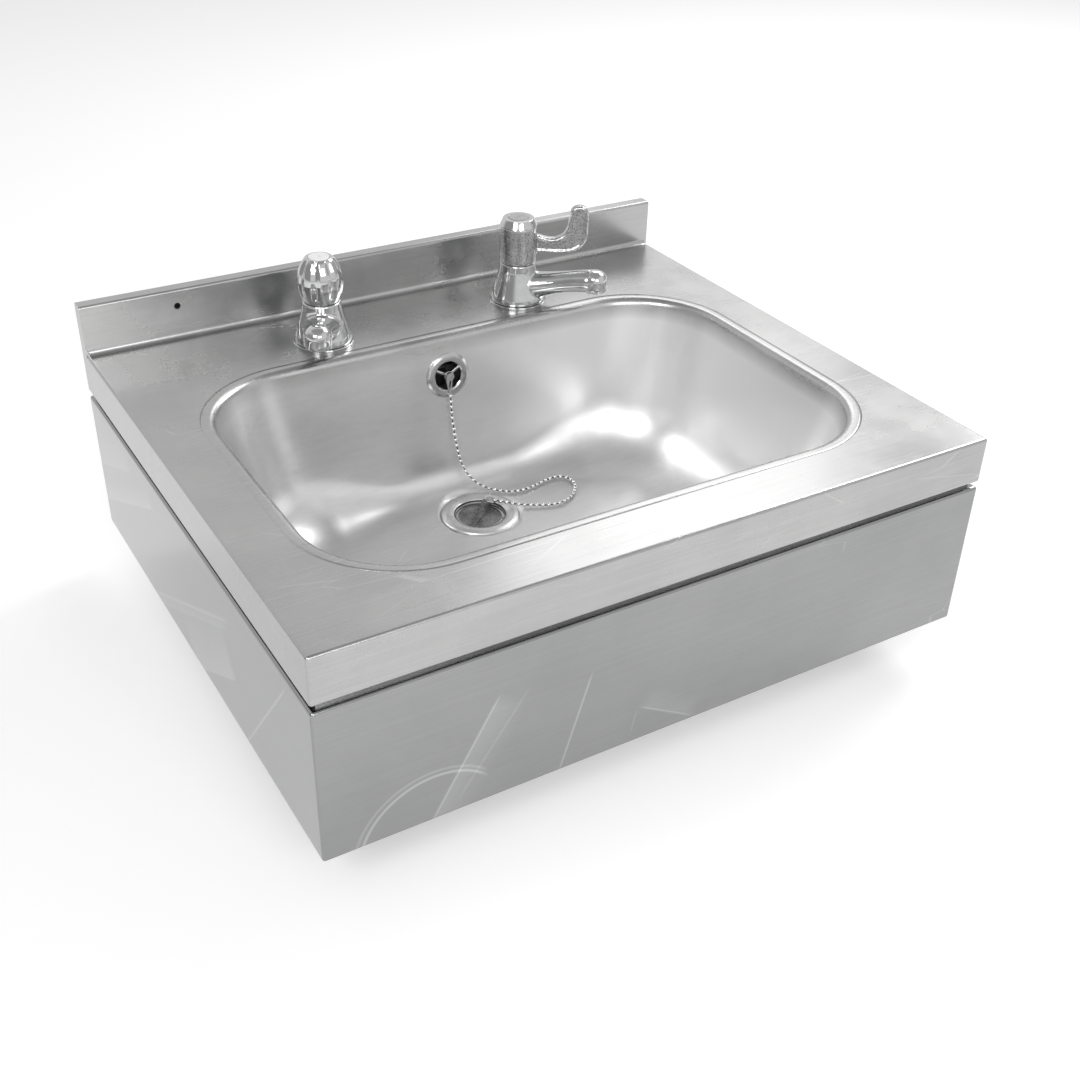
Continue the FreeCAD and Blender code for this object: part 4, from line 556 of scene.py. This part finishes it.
def eased(outline, steps=5):
    """An outline of (across, up, rounding) corners, with an arc at each rounded corner."""
    points = []
    for i, (across, up, ease) in enumerate(outline):
        here = Vector((across, up))
        if not ease or i in (0, len(outline) - 1):
            points.append(here)
            continue
        back = (Vector(outline[i - 1][:2]) - here).normalized()
        ahead = (Vector(outline[i + 1][:2]) - here).normalized()
        half = back.angle(ahead) / 2
        centre = here + (back + ahead).normalized() * (ease / math.sin(half))
        start = (here + back * (ease / math.tan(half)) - centre).normalized()
        end = (here + ahead * (ease / math.tan(half)) - centre).normalized()
        points += [centre + start.slerp(end, step / steps).normalized() * ease for step in range(steps + 1)]
    return points


def turned(outline, steps=72, ring=False):
    """A piece turned about Z from an outline of (radius, height, rounding) corners."""
    bm = bmesh.new()
    corners = [bm.verts.new((point.x, 0, point.y)) for point in eased(outline)]
    pairs = list(zip(corners, corners[1:]))
    if ring:
        pairs.append((corners[-1], corners[0]))
    edges = [bm.edges.new(pair) for pair in pairs]
    bmesh.ops.spin(bm, geom=corners + edges, cent=(0, 0, 0), axis=(0, 0, 1), angle=math.tau,
                   steps=steps, use_merge=True)
    bmesh.ops.remove_doubles(bm, verts=bm.verts, dist=0.0005)
    bmesh.ops.recalc_face_normals(bm, faces=bm.faces)
    return bm


def skinned(rings, close_ends=True):
    """A skin drawn through rings of equally many points, extruded from one to the next."""
    bm = bmesh.new()
    row = [bm.verts.new(point) for point in rings[0]]
    edges = [bm.edges.new(pair) for pair in zip(row, row[1:] + row[:1])]
    ends = [edges]
    for ring in rings[1:]:
        made = set(bmesh.ops.extrude_edge_only(bm, edges=edges)["geom"])
        row = [next(edge.other_vert(vert) for edge in vert.link_edges if edge.other_vert(vert) in made)
               for vert in row]
        for vert, point in zip(row, ring):
            vert.co = point
        edges = [bm.edges.get(pair) for pair in zip(row, row[1:] + row[:1])]
    ends.append(edges)
    if close_ends:
        for loop in ends:
            bmesh.ops.holes_fill(bm, edges=loop, sides=0)
    bmesh.ops.recalc_face_normals(bm, faces=bm.faces)
    return bm


def melted(bm, grain, soften):
    """Melts overlapping solids into the one skin of a casting, with soft inner corners."""
    mesh = bpy.data.meshes.new("blank")
    bm.to_mesh(mesh)
    bm.free()
    blank = bpy.data.objects.new("blank", mesh)
    scene.collection.objects.link(blank)
    remesh = blank.modifiers.new("melt", "REMESH")
    remesh.mode = "VOXEL"
    remesh.voxel_size = grain
    smooth = blank.modifiers.new("soften", "SMOOTH")
    smooth.factor = 0.5
    smooth.iterations = soften
    skin = bpy.data.meshes.new_from_object(blank.evaluated_get(bpy.context.evaluated_depsgraph_get()))
    bpy.data.objects.remove(blank)
    bpy.data.meshes.remove(mesh)
    cast = bmesh.new()
    cast.from_mesh(skin)
    bpy.data.meshes.remove(skin)
    return cast


def finish_piece(bm, name, body, slot, finish, nodes=(), crease=38.0):
    """Turns a piece drawn in millimetres into an object of the sink."""
    bmesh.ops.recalc_face_normals(bm, faces=bm.faces)
    bmesh.ops.scale(bm, vec=(MM, MM, MM), verts=bm.verts)
    for face in bm.faces:
        face.smooth = True
    for edge in bm.edges:
        edge.smooth = not edge.is_manifold or edge.calc_face_angle(0) < math.radians(crease)
    mesh = bpy.data.meshes.new(name)
    bm.to_mesh(mesh)
    bm.free()
    mesh.materials.append(FINISH[finish])
    piece = bpy.data.objects.new(name, mesh)
    scene.collection.objects.link(piece)
    if body:
        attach(piece, body)
    if nodes:
        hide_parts(*nodes)
    return piece


def set_piece(part, place, *facts):
    """Sets a part drawn about its own axis at its place on the sink, and finishes it."""
    return finish_piece(add(bmesh.new(), part, place), *facts)


def upright(x, y, z, turn=0.0):
    """A place on the sink for a piece drawn about its own upright axis."""
    return Matrix.Translation((x, y, z)) @ Matrix.Rotation(math.radians(turn), 4, "Z")


def screw_thread(radius, depth, pitch, foot, top, inner):
    """A threaded tube end: one ridge swept up a helix, over a plain core that closes it."""
    steps = 40
    turns = int((top - foot) / pitch)
    bm = bmesh.new()
    ridge = [(radius - depth, 0), (radius, 0.42), (radius, 0.58), (radius - depth, 1)]
    corners = [bm.verts.new((across, 0, foot + up * pitch)) for across, up in ridge]
    edges = [bm.edges.new(pair) for pair in zip(corners, corners[1:])]
    bmesh.ops.spin(bm, geom=corners + edges, cent=(0, 0, 0), axis=(0, 0, 1),
                   dvec=(0, 0, pitch / steps), angle=math.tau * (turns - 1), steps=steps * (turns - 1))
    bmesh.ops.remove_doubles(bm, verts=bm.verts, dist=0.001)
    core = turned([(inner, foot, 0), (radius - depth - 0.05, foot, 0), (radius - depth + 0.02, foot + 0.5, 0),
                   (radius - depth + 0.02, top, 0), (inner, top, 0)], 64, ring=True)
    return add(bm, core)


# ---------------------------------------------------------------------------------------------
# The pressed bowl
# ---------------------------------------------------------------------------------------------

WASTE_Y = -191.0
BOWL_HALF = 246.0
BOWL_FRONT = -451.0
BOWL_BACK = -125.0
BOWL_CORNER = 83.0
BOWL_DEPTH = 156.0
ROLL = 7.0
GAUGE = 1.2
BACK_FOLD = 28.0
THROAT = 24.6
RECESS_REACH = 60.0
FLANGE_SEAT = -157.5
PLUG_REST = -154.8
ROSE_CENTRE = (0, -127.7, -39)
ROSE_HOLE = 17.8
ROLL_STEPS = 8
WALL_STEPS = 30
FOLD_STEPS = 18
FLOOR_STEPS = 34
CORNER_STEPS = 16
# Points along the wall that follows each corner: back, left end, front, right end.
WALL_POINTS = (72, 26, 40, 26)
FALL = math.tan(math.radians(1.5))
# Slope and floor fold of the four walls: right end, back, left end, front.  The back's fold is
# tighter behind the waste.
WALLS = ((11.0, 66.0), (4.0, 62.0), (11.0, 66.0), (10.0, 66.0))


def wall_section(slope, fold):
    """Steps down a wall as (inset from its straight line, depth): roll, wall, fold, floor."""
    lean = math.radians(slope)
    roll_reach = ROLL * math.tan((math.pi / 2 - lean) / 2)
    fold_reach = fold * math.tan((math.pi / 2 - lean) / 2)
    section = [(-12.0, 0.0), (-9.5, 0.0), (-roll_reach, 0.0)]
    for step in range(1, ROLL_STEPS + 1):
        turn = (math.pi / 2 - lean) * step / ROLL_STEPS
        depth = ROLL - ROLL * math.cos(turn)
        section.append((ROLL * math.sin(turn) - roll_reach - depth * math.tan(lean), depth))
    top = section[-1][1]
    foot = BOWL_DEPTH - fold_reach * math.cos(lean)
    section += [(0.0, top + (foot - top) * step / WALL_STEPS) for step in range(1, WALL_STEPS + 1)]
    middle = BOWL_DEPTH * math.tan(lean) + fold_reach
    for step in range(1, FOLD_STEPS + 1):
        turn = lean + (math.pi / 2 - lean) * step / FOLD_STEPS
        depth = BOWL_DEPTH - fold + fold * math.sin(turn)
        section.append((middle - fold * math.cos(turn) - depth * math.tan(lean), depth))
    return section


def eased_share(value, low, high):
    """From 0 at low to 1 at high, level at both ends."""
    share = min(1.0, max(0.0, (value - low) / (high - low)))
    return share * share * (3 - 2 * share)


def bowl_ring(level, sections, behind_waste):
    """One ring of the bowl's skin: four walls and four corners, with as many points as the rest."""
    ring = []
    drafts = [math.tan(math.radians(slope)) for slope, fold in WALLS]
    insets = [section[level][0] for section in sections]
    depths = [section[level][1] for section in sections]
    centres = []
    for sx, sy in ((1, 1), (-1, 1), (-1, -1), (1, -1)):
        wall_x, wall_y = (0 if sx > 0 else 2), (1 if sy > 0 else 3)
        x = sx * (BOWL_HALF - BOWL_CORNER - depths[wall_x] * drafts[wall_x])
        edge = BOWL_BACK if sy > 0 else BOWL_FRONT
        y = edge - sy * (BOWL_CORNER + depths[wall_y] * drafts[wall_y])
        centres.append((x, y, wall_x, wall_y))
    for corner, (x, y, wall_x, wall_y) in enumerate(centres):
        first, last = (wall_x, wall_y) if corner in (0, 2) else (wall_y, wall_x)
        for step in range(CORNER_STEPS + 1):
            share = step / CORNER_STEPS
            ease = eased_share(share, 0, 1)
            turn = math.radians(90 * corner + 90 * share)
            radius = BOWL_CORNER - insets[first] * (1 - ease) - insets[last] * ease
            depth = depths[first] * (1 - ease) + depths[last] * ease
            ring.append(Vector((x + radius * math.cos(turn), y + radius * math.sin(turn), -depth)))
        # The straight wall that follows this corner; behind the waste its points lie closer.
        nx, ny, next_x, next_y = centres[(corner + 1) % 4]
        count = WALL_POINTS[corner]
        start = ring[-1]
        turn = math.radians(90 * (corner + 1))
        radius = BOWL_CORNER - insets[last]
        end = Vector((nx + radius * math.cos(turn), ny + radius * math.sin(turn), -depths[last]))
        for step in range(1, count):
            share = step / count
            if corner == 0:
                away = 2 * share - 1
                share = (1 + 0.4 * away + 0.6 * away ** 3) / 2
            point = start.lerp(end, share)
            if corner == 0:
                near = 1 - eased_share(abs(point.x), 55, 150)
                inset = insets[1] * (1 - near) + behind_waste[level][0] * near
                depth = depths[1] * (1 - near) + behind_waste[level][1] * near
                point.y = BOWL_BACK - depth * drafts[1] - inset
                point.z = -depth
            ring.append(point)
    for point in ring:
        share = min(1.0, max(0.0, -point.z / BOWL_DEPTH))
        point.z -= (point.y - WASTE_Y) * FALL * share ** 1.5
    return ring


def sunk_for_waste(point):
    """The floor's height at a place, once the round recess for the waste is pressed into it."""
    away = math.hypot(point.x, point.y - WASTE_Y)
    beyond = max(0.0, away - 38.2)
    recess = -BOWL_DEPTH - 3.0 + beyond * 1.1 + (beyond / 4.2) ** 5
    share = min(1.0, max(0.0, 0.5 + 0.5 * (recess - point.z) / 1.6))
    return recess * (1 - share) + point.z * share - 1.6 * share * (1 - share)


def pressed_bowl():
    """One sheet from the seam in the deck over the rolled edge, down the walls and into the recess."""
    sections = [wall_section(*wall) for wall in WALLS]
    behind_waste = wall_section(WALLS[1][0], BACK_FOLD)
    rings = [bowl_ring(level, sections, behind_waste) for level in range(len(sections[0]))]
    floor = rings[-1]
    inner = []
    for point in floor:
        bearing = math.atan2(point.y - WASTE_Y, point.x)
        inner.append(Vector((THROAT * math.cos(bearing), WASTE_Y + THROAT * math.sin(bearing),
                             -BOWL_DEPTH - THROAT * math.sin(bearing) * FALL)))
    for step in range(1, FLOOR_STEPS + 1):
        share = 1 - (1 - step / FLOOR_STEPS) ** 1.8
        rings.append([start.lerp(end, share) for start, end in zip(floor, inner)])
    bm = skinned(rings, close_ends=False)
    for vert in bm.verts:
        if math.hypot(vert.co.x, vert.co.y - WASTE_Y) < RECESS_REACH:
            vert.co.z = sunk_for_waste(vert.co)
    centre = Vector(ROSE_CENTRE)
    gap = [face for face in bm.faces if (face.calc_center_median() - centre).length < ROSE_HOLE]
    bmesh.ops.delete(bm, geom=gap, context="FACES")
    piece = finish_piece(bm, "pressed_bowl", "sink", "steel", "bowl", ("bowl",), 60)
    thick = piece.modifiers.new("sheet", "SOLIDIFY")
    thick.thickness = GAUGE * MM
    thick.offset = -1


# ---------------------------------------------------------------------------------------------
# Taps
# ---------------------------------------------------------------------------------------------

TAP_X = {"left": -102.0, "right": 102.0}
TAP_Y = -81.0
SPOUT_TURN = {"left": -27.0, "right": 43.0}
TAP_FOOT = 1.0
HANDLE_FOOT = 39.5
LEVER_TURN = -25.0


def oval(reach, level, width, height, points=40):
    """A ring across the spout, a distance along -Y from the tap's axis."""
    return [Vector((width / 2 * math.cos(math.tau * i / points), -reach,
                    level + height / 2 * math.sin(math.tau * i / points))) for i in range(points)]


SPOUT_REACH = {"left": 57.0, "right": 77.0}
NOSE_RADIUS = {"left": 12.4, "right": 12.1}
# Rings across each spout, as (reach, level, width, height).
SPOUT_RINGS = {
    "left": ((8, 16, 34, 27), (16, 17.4, 32.5, 25.5), (24, 19.4, 30.5, 23.8), (32, 21.8, 28.4, 22.4),
             (40, 24.2, 26.6, 21.6), (50, 26.4, 25.2, 21.4)),
    "right": ((8, 14.6, 33, 29), (16, 15.8, 30.5, 27), (24, 17.4, 27.8, 25), (32, 19.4, 25.8, 23),
              (40, 21.5, 24.2, 21.6), (50, 23.7, 23.4, 20.8), (60, 25.6, 23.6, 21.2),
              (70, 27, 24.4, 21.9), (77, 27.5, 23.2, 21.4)),
}


def tap_casting(side):
    """Bell, spout and nose, melted into one polished casting."""
    bell = turned([(0, 0, 0), (25.2, 0, 0.8), (26, 1.8, 1), (25.4, 6, 8), (22.8, 14, 26), (20, 23, 30),
                   (18.2, 31, 20), (17.6, 36, 4), (17.6, 38.1, 0.4), (17, 38.3, 0), (0, 38.3, 0)])
    spout = skinned([oval(*ring) for ring in SPOUT_RINGS[side]])
    end = NOSE_RADIUS[side]
    nose = turned([(0, 27, 0), (8, 27, 0), (8, 18.4, 0), (8.5, 17.6, 0.3), (end - 1.6, 17.6, 1.4),
                   (end, 21, 3), (end, 28.5, 6), (end - 0.9, 33, 6), (end * 0.64, 36.9, 6),
                   (3.5, 38.2, 6), (0, 38.3, 0)], 48)
    add(bell, spout)
    add(bell, nose, Matrix.Translation((0, -SPOUT_REACH[side], 0)))
    cast = melted(bell, 0.7, 18)
    set_piece(cast, upright(TAP_X[side], TAP_Y, TAP_FOOT, SPOUT_TURN[side]), f"{side}_tap_casting",
              "sink", "chrome", "chrome", (f"{side}_tap_body",), 180)


def tap_tail(side):
    """Half inch pipe thread under the deck."""
    tail = screw_thread(10.48, 1.16, 1.814, -49.0, 0.0, 6.5)
    set_piece(tail, upright(TAP_X[side], TAP_Y, 0), f"{side}_tap_tail", "sink", "brass", "brass", (),
              50)


def base_rings():
    """Bright washers under both taps, proud of the castings' feet."""
    whole = bmesh.new()
    for x in TAP_X.values():
        ring = turned([(10.8, 0, 0), (27.5, 0, 0.3), (27.5, 1, 0.45), (24.4, 1.05, 0), (10.8, 1.0, 0)],
                      96, ring=True)
        add(whole, ring, upright(x, TAP_Y, 0))
    finish_piece(whole, "base_rings", "sink", "chrome", "chrome", ("tap_base_washers",))


def fluted_knob():
    """Barrel knob with eight long flutes and a well for its index disc."""
    outline = [(13.6, 0.4, 0), (13.8, 0, 0.15), (15.8, 0, 0.5), (16.8, 1.0, 0.8), (18.9, 6.5, 18),
               (20.4, 13, 26), (20.6, 18.5, 0), (20.1, 24, 30), (18.4, 30.4, 30), (15.6, 36.4, 24),
               (13.2, 39.5, 3), (11.8, 40.5, 0.5), (9.9, 40.5, 0.25), (9.7, 40.0, 0), (9.7, 36, 0)]
    points = []
    corners = eased(outline)
    for before, after in zip(corners, corners[1:]):
        count = max(1, round((after - before).length / 1.1))
        points += [(*before.lerp(after, step / count), 0) for step in range(count)]
    knob = turned(points + [(9.7, 36, 0), (0, 36, 0)], 192)
    for vert in knob.verts:
        radius = Vector(vert.co[:2]).length
        if radius < 12.4 or vert.co.z < 1.5:
            continue
        around = (math.degrees(math.atan2(vert.co.y, vert.co.x)) + 12) % 45 - 22.5
        across = abs(math.radians(around)) * 20.6
        hollow = max(0.0, 1 - (across / 4.6) ** 2)
        depth = 1.7 * eased_share(vert.co.z, 1.8, 8) * (1 - 0.5 * eased_share(vert.co.z, 34, 40))
        vert.co.x *= 1 - depth * hollow ** 1.3 / radius
        vert.co.y *= 1 - depth * hollow ** 1.3 / radius
    set_piece(knob, upright(TAP_X["left"], TAP_Y, HANDLE_FOOT), "fluted_knob", "left_knob_group",
              "chrome", "chrome", ("left_knob",), 32)


def index_disc(name, x, top, body, finish, node, rings):
    """Slightly domed plastic disc with a rim, raised or sunk rings and a dimple."""
    outline = [(0, -0.35, 0), (1.1, -0.35, 0.1), (1.35, 0, 0.15)] + rings + [
        (9.3, 0.0, 0.25), (9.6, -0.4, 0.2), (9.6, -1.8, 0), (0, -1.8, 0)]
    set_piece(turned(outline, 64), upright(x, TAP_Y, top), name, body, finish, finish, (node,), 40)


BLADE = 9.8


def wrist_lever():
    """Cast lever: a hub with a bevelled cap, and a blade that dips and hooks upwards."""
    hub = turned([(13.6, 0.5, 0), (14.2, 0, 0.2), (17.0, 0, 0.6), (17.8, 0.9, 0.6), (17.8, 35.6, 0.4),
                  (17.3, 36, 0), (0, 36, 0), (0, 18, 0), (13.6, 18, 0), (13.6, 0.5, 0)])
    outline = eased([(8, 19, 0), (8, 9.5, 0), (38, 7.2, 40), (66.6, 8.4, 20), (66.8, 53.8, 8.2), (50, 53.8, 8.2),
                     (46, 23, 14), (30, 22.6, 20), (8, 29.4, 0), (8, 19.5, 0)], 10)
    blade = bmesh.new()
    face = blade.faces.new([blade.verts.new((point.x, -BLADE / 2, point.y)) for point in outline])
    made = bmesh.ops.extrude_face_region(blade, geom=[face])["geom"]
    bmesh.ops.translate(blade, verts=[part for part in made if isinstance(part, bmesh.types.BMVert)],
                        vec=(0, BLADE, 0))
    bmesh.ops.recalc_face_normals(blade, faces=blade.faces)
    edges = [edge for edge in blade.edges if abs(edge.verts[0].co.y - edge.verts[1].co.y) < 0.1]
    bmesh.ops.bevel(blade, geom=edges, offset=2.6, segments=4, profile=0.5, affect="EDGES", material=-1)
    sides = [face for face in blade.faces if len(face.verts) > 20]
    bmesh.ops.inset_region(blade, faces=sides, thickness=1.6, depth=-1.2)
    add(hub, blade)
    place = upright(TAP_X["right"], TAP_Y, HANDLE_FOOT, LEVER_TURN)
    set_piece(melted(hub, 0.62, 5), place, "wrist_lever", "right_lever_group", "lever_chrome",
              "lever_chrome", ("right_lever",), 180)
    cap = turned([(17.2, 35.7, 0), (17.75, 35.9, 0.15), (17.75, 36.5, 0.2), (14.7, 43, 0.7), (9.9, 43, 0.25),
                  (9.7, 42.6, 0), (9.7, 38, 0), (0, 38, 0)], 96)
    set_piece(cap, place, "lever_cap", "right_lever_group", "lever_chrome", "chrome")


# ---------------------------------------------------------------------------------------------
# Overflow, waste, plug and chain
# ---------------------------------------------------------------------------------------------

ROSE_PLACE = Matrix.Translation((0, -127.727, -39)) @ Matrix.Rotation(math.radians(86), 4, "X")


def overflow_rose():
    """Pressed ring with three spokes to a hub."""
    rose = turned([(13.5, -1.2, 0), (16.7, -1.2, 0), (16.7, 0.05, 0), (22, 0.05, 0.2), (22, 0.8, 0.5),
                   (19.2, 2.6, 1.4), (14.6, 2.6, 1.0), (13.5, 1.4, 0.4)], 96, ring=True)
    hub = turned([(0, 0, 0), (4.2, 0, 0), (4.6, 0.6, 0.3), (4.4, 2.5, 0.5), (0, 2.6, 0)], 40)
    add(rose, hub)
    for turn in (30, 150, 270):
        spoke = bmesh.new()
        bmesh.ops.create_cube(spoke, size=1)
        bmesh.ops.scale(spoke, vec=(11, 2.6, 1.6), verts=spoke.verts)
        bmesh.ops.bevel(spoke, geom=list(spoke.edges), offset=0.55, segments=3, profile=0.5,
                        affect="EDGES", material=-1)
        bmesh.ops.translate(spoke, verts=spoke.verts, vec=(9, 0, 0.9))
        add(rose, spoke, Matrix.Rotation(math.radians(turn), 4, "Z"))
    set_piece(rose, ROSE_PLACE, "spoked_rose", "sink", "rose_steel", "rose_steel", ("overflow_rose",),
              35)


def waste_flange():
    """Satin flange with a low lip round the plug's seat, over the threaded tail."""
    flange = turned([(20.6, -14, 0), (20.6, -10, 0.5), (22.8, -7.6, 1), (23.15, -4.4, 0.6), (24.8, 0.4, 1.4),
                     (29, 2.0, 4), (33, 2.1, 3), (36.3, 1.0, 1.4), (37.4, -0.2, 0.8), (37.5, -1, 0),
                     (24.2, -1, 0), (24.2, -14, 0)], 120, ring=True)
    set_piece(flange, upright(0, WASTE_Y, FLANGE_SEAT), "waste_flange", "sink", "waste_chrome",
              "satin_waste", ("waste_body",), 40)
    tail = screw_thread(23.9, 1.48, 2.309, -225.5, -190.0, 20.6)
    add(tail, turned([(20.6, -191, 0), (23.4, -191, 0), (23.4, -160, 0), (20.6, -160, 0)], 72, ring=True))
    set_piece(tail, upright(0, WASTE_Y, 0), "waste_tail", "sink", "waste_chrome", "waste_chrome", (),
              50)


def rubber_plug():
    """Moulded plug sunk in its seat: a wedge of a finger rib rises to the boss that holds the eye."""
    body = turned([(0, -10, 0), (20.6, -10, 0.6), (22.5, -8.6, 0.5), (22.9, -7.4, 0.5), (22.2, -6.7, 0.4),
                   (0, -6.5, 0)], 72)
    rib = bmesh.new()
    bmesh.ops.create_cube(rib, size=1)
    bmesh.ops.scale(rib, vec=(34, 8, 4.4), verts=rib.verts)
    for vert in rib.verts:
        if vert.co.x < 0:
            vert.co.y *= 0.3
            vert.co.z = min(vert.co.z, 1.0)
    bmesh.ops.bevel(rib, geom=list(rib.edges), offset=0.9, segments=4, profile=0.5, affect="EDGES",
                    material=-1)
    bmesh.ops.translate(rib, verts=rib.verts, vec=(-1, 0, -5.6))
    add(body, rib, Matrix.Rotation(math.radians(42), 4, "Z"))
    boss = turned([(0, -8, 0), (6.2, -8, 0), (4.8, -4.5, 2), (3.9, 2.2, 1.2), (2.4, 3.3, 0.6),
                   (0, 3.4, 0)], 32)
    add(body, boss, Matrix.Translation((11.52, 10.37, 0)))
    eye = bmesh.new()
    bmesh.ops.create_circle(eye, segments=12, radius=1.25, cap_ends=False)
    bmesh.ops.translate(eye, verts=eye.verts, vec=(2.5, 0, 0))
    bmesh.ops.rotate(eye, verts=eye.verts, matrix=Matrix.Rotation(math.radians(90), 3, "X"))
    bmesh.ops.spin(eye, geom=list(eye.verts) + list(eye.edges), cent=(0, 0, 0), axis=(0, 1, 0),
                   angle=math.tau, steps=28, use_merge=True)
    bmesh.ops.remove_doubles(eye, verts=eye.verts, dist=0.001)
    bmesh.ops.recalc_face_normals(eye, faces=eye.faces)
    lug = Matrix.Translation((11.52, 10.37, 5.2)) @ Matrix.Rotation(math.radians(-40), 4, "Z")
    add(body, eye, lug)
    set_piece(melted(body, 0.4, 3), upright(0, WASTE_Y, PLUG_REST), "rubber_plug", "plug_group",
              "plug_rubber", "plug_rubber", ("plug",), 180)


CHAIN_ROUTE = [
    (0, -133.35, -58.42), (0.4, -133.8, -76), (1.6, -136, -95), (3.5, -138.4, -113),
    (6.5, -141, -130), (13, -147.5, -144.5), (22, -156.5, -152), (31, -166, -153.8),
    (42, -175, -153.9), (56, -178.5, -153.9), (71, -176, -153.8), (86, -171.5, -153.7),
    (99, -171.5, -153.7), (107, -180, -153.6), (106, -192, -153.5), (98.5, -204, -153.2),
    (87, -213.5, -153), (74, -218, -152.9), (61, -215.5, -152.9), (48, -208.5, -152.9),
    (35.5, -201.5, -152.2), (26, -194, -150.65), (18.66, -186.76, -150.45),
]


def chain_line():
    """The smooth line of the chain's route, as points in millimetres."""
    curve = bpy.data.curves.new("chain_line", "CURVE")
    curve.dimensions = "3D"
    spline = curve.splines.new("NURBS")
    spline.points.add(len(CHAIN_ROUTE) - 1)
    for point, place in zip(spline.points, CHAIN_ROUTE):
        point.co = (*place, 1)
    spline.order_u = 3
    spline.use_endpoint_u = True
    spline.resolution_u = 16
    holder = bpy.data.objects.new("chain_line", curve)
    mesh = bpy.data.meshes.new_from_object(holder)
    points = [vert.co.copy() for vert in mesh.vertices]
    bpy.data.objects.remove(holder)
    bpy.data.meshes.remove(mesh)
    return points


def evenly(points, count):
    """That many places at equal steps along a line, each with the line's direction there."""
    lengths = [0.0]
    for before, after in zip(points, points[1:]):
        lengths.append(lengths[-1] + (after - before).length)
    found, here = [], 0
    for i in range(count):
        goal = lengths[-1] * i / (count - 1)
        while here < len(points) - 2 and lengths[here + 1] < goal:
            here += 1
        share = (goal - lengths[here]) / (lengths[here + 1] - lengths[here])
        way = (points[here + 1] - points[here]).normalized()
        found.append((points[here].lerp(points[here + 1], share), way))
    return found


BEADS = 56
BEAD_RADIUS = 1.95
LINK_RADIUS = 0.7


def aligned(place, way):
    """A place for a part whose own Z axis is to lie along a direction."""
    return Matrix.Translation(place) @ way.to_track_quat("Z", "Y").to_matrix().to_4x4()


def bead_chain():
    """Hollow beads on short links, along the chain's line."""
    points = chain_line()
    beads = evenly(points, BEADS)
    whole = bmesh.new()
    for i, (place, way) in enumerate(beads):
        bead = bmesh.new()
        bmesh.ops.create_icosphere(bead, subdivisions=3, radius=BEAD_RADIUS)
        add(whole, bead, aligned(place, way))
        if i < len(beads) - 1:
            link = bmesh.new()
            step = beads[i + 1][0] - place
            bmesh.ops.create_cone(link, cap_ends=True, segments=8, radius1=LINK_RADIUS,
                                  radius2=LINK_RADIUS, depth=step.length)
            for face in link.faces:
                face.material_index = 1
            add(whole, link, aligned(place + step / 2, step))
    chain = finish_piece(whole, "bead_chain", None, "chain_chrome", "chain_chrome", ("plug_chain",), 60)
    # The links get the near-black link finish: painted shade between the beads.
    chain.data.materials.append(FINISH["link_steel"])
    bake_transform(chain)


place_camera()
studio_world()
studio_floor()
softbox("key", (2.3, 0.4, 1.9), (0, -0.25, 0), 1.2, 1.2, 35)
softbox("glow", (1.35, 1.26, 1.34), (0, -0.45, 0), 0.85, 0.75, 3.8)
softbox("fill", (-2.0, -1.7, 1.9), (0, -0.25, -0.05), 1.2, 1.2, 32)
softbox("front", (-0.3, -2.35, 1.1), (0, -0.1, 0.02), 1.1, 0.9, 15)
finish_frame()
pressed_bowl()
base_rings()
for side in TAP_X:
    tap_casting(side)
    tap_tail(side)
fluted_knob()
index_disc("left_index_disc", TAP_X["left"], 80.5, "left_knob_group", "white_index", "left_index",
           [(8.6, 0.15, 0.3)])
wrist_lever()
index_disc("right_index_disc", TAP_X["right"], 83.0, "right_lever_group", "grey_index", "right_index",
           [(3.6, 0.05, 0.1), (4.0, -0.2, 0.1), (4.6, -0.2, 0.1), (5.0, 0.05, 0.1)])
overflow_rose()
waste_flange()
rubber_plug()
bead_chain()
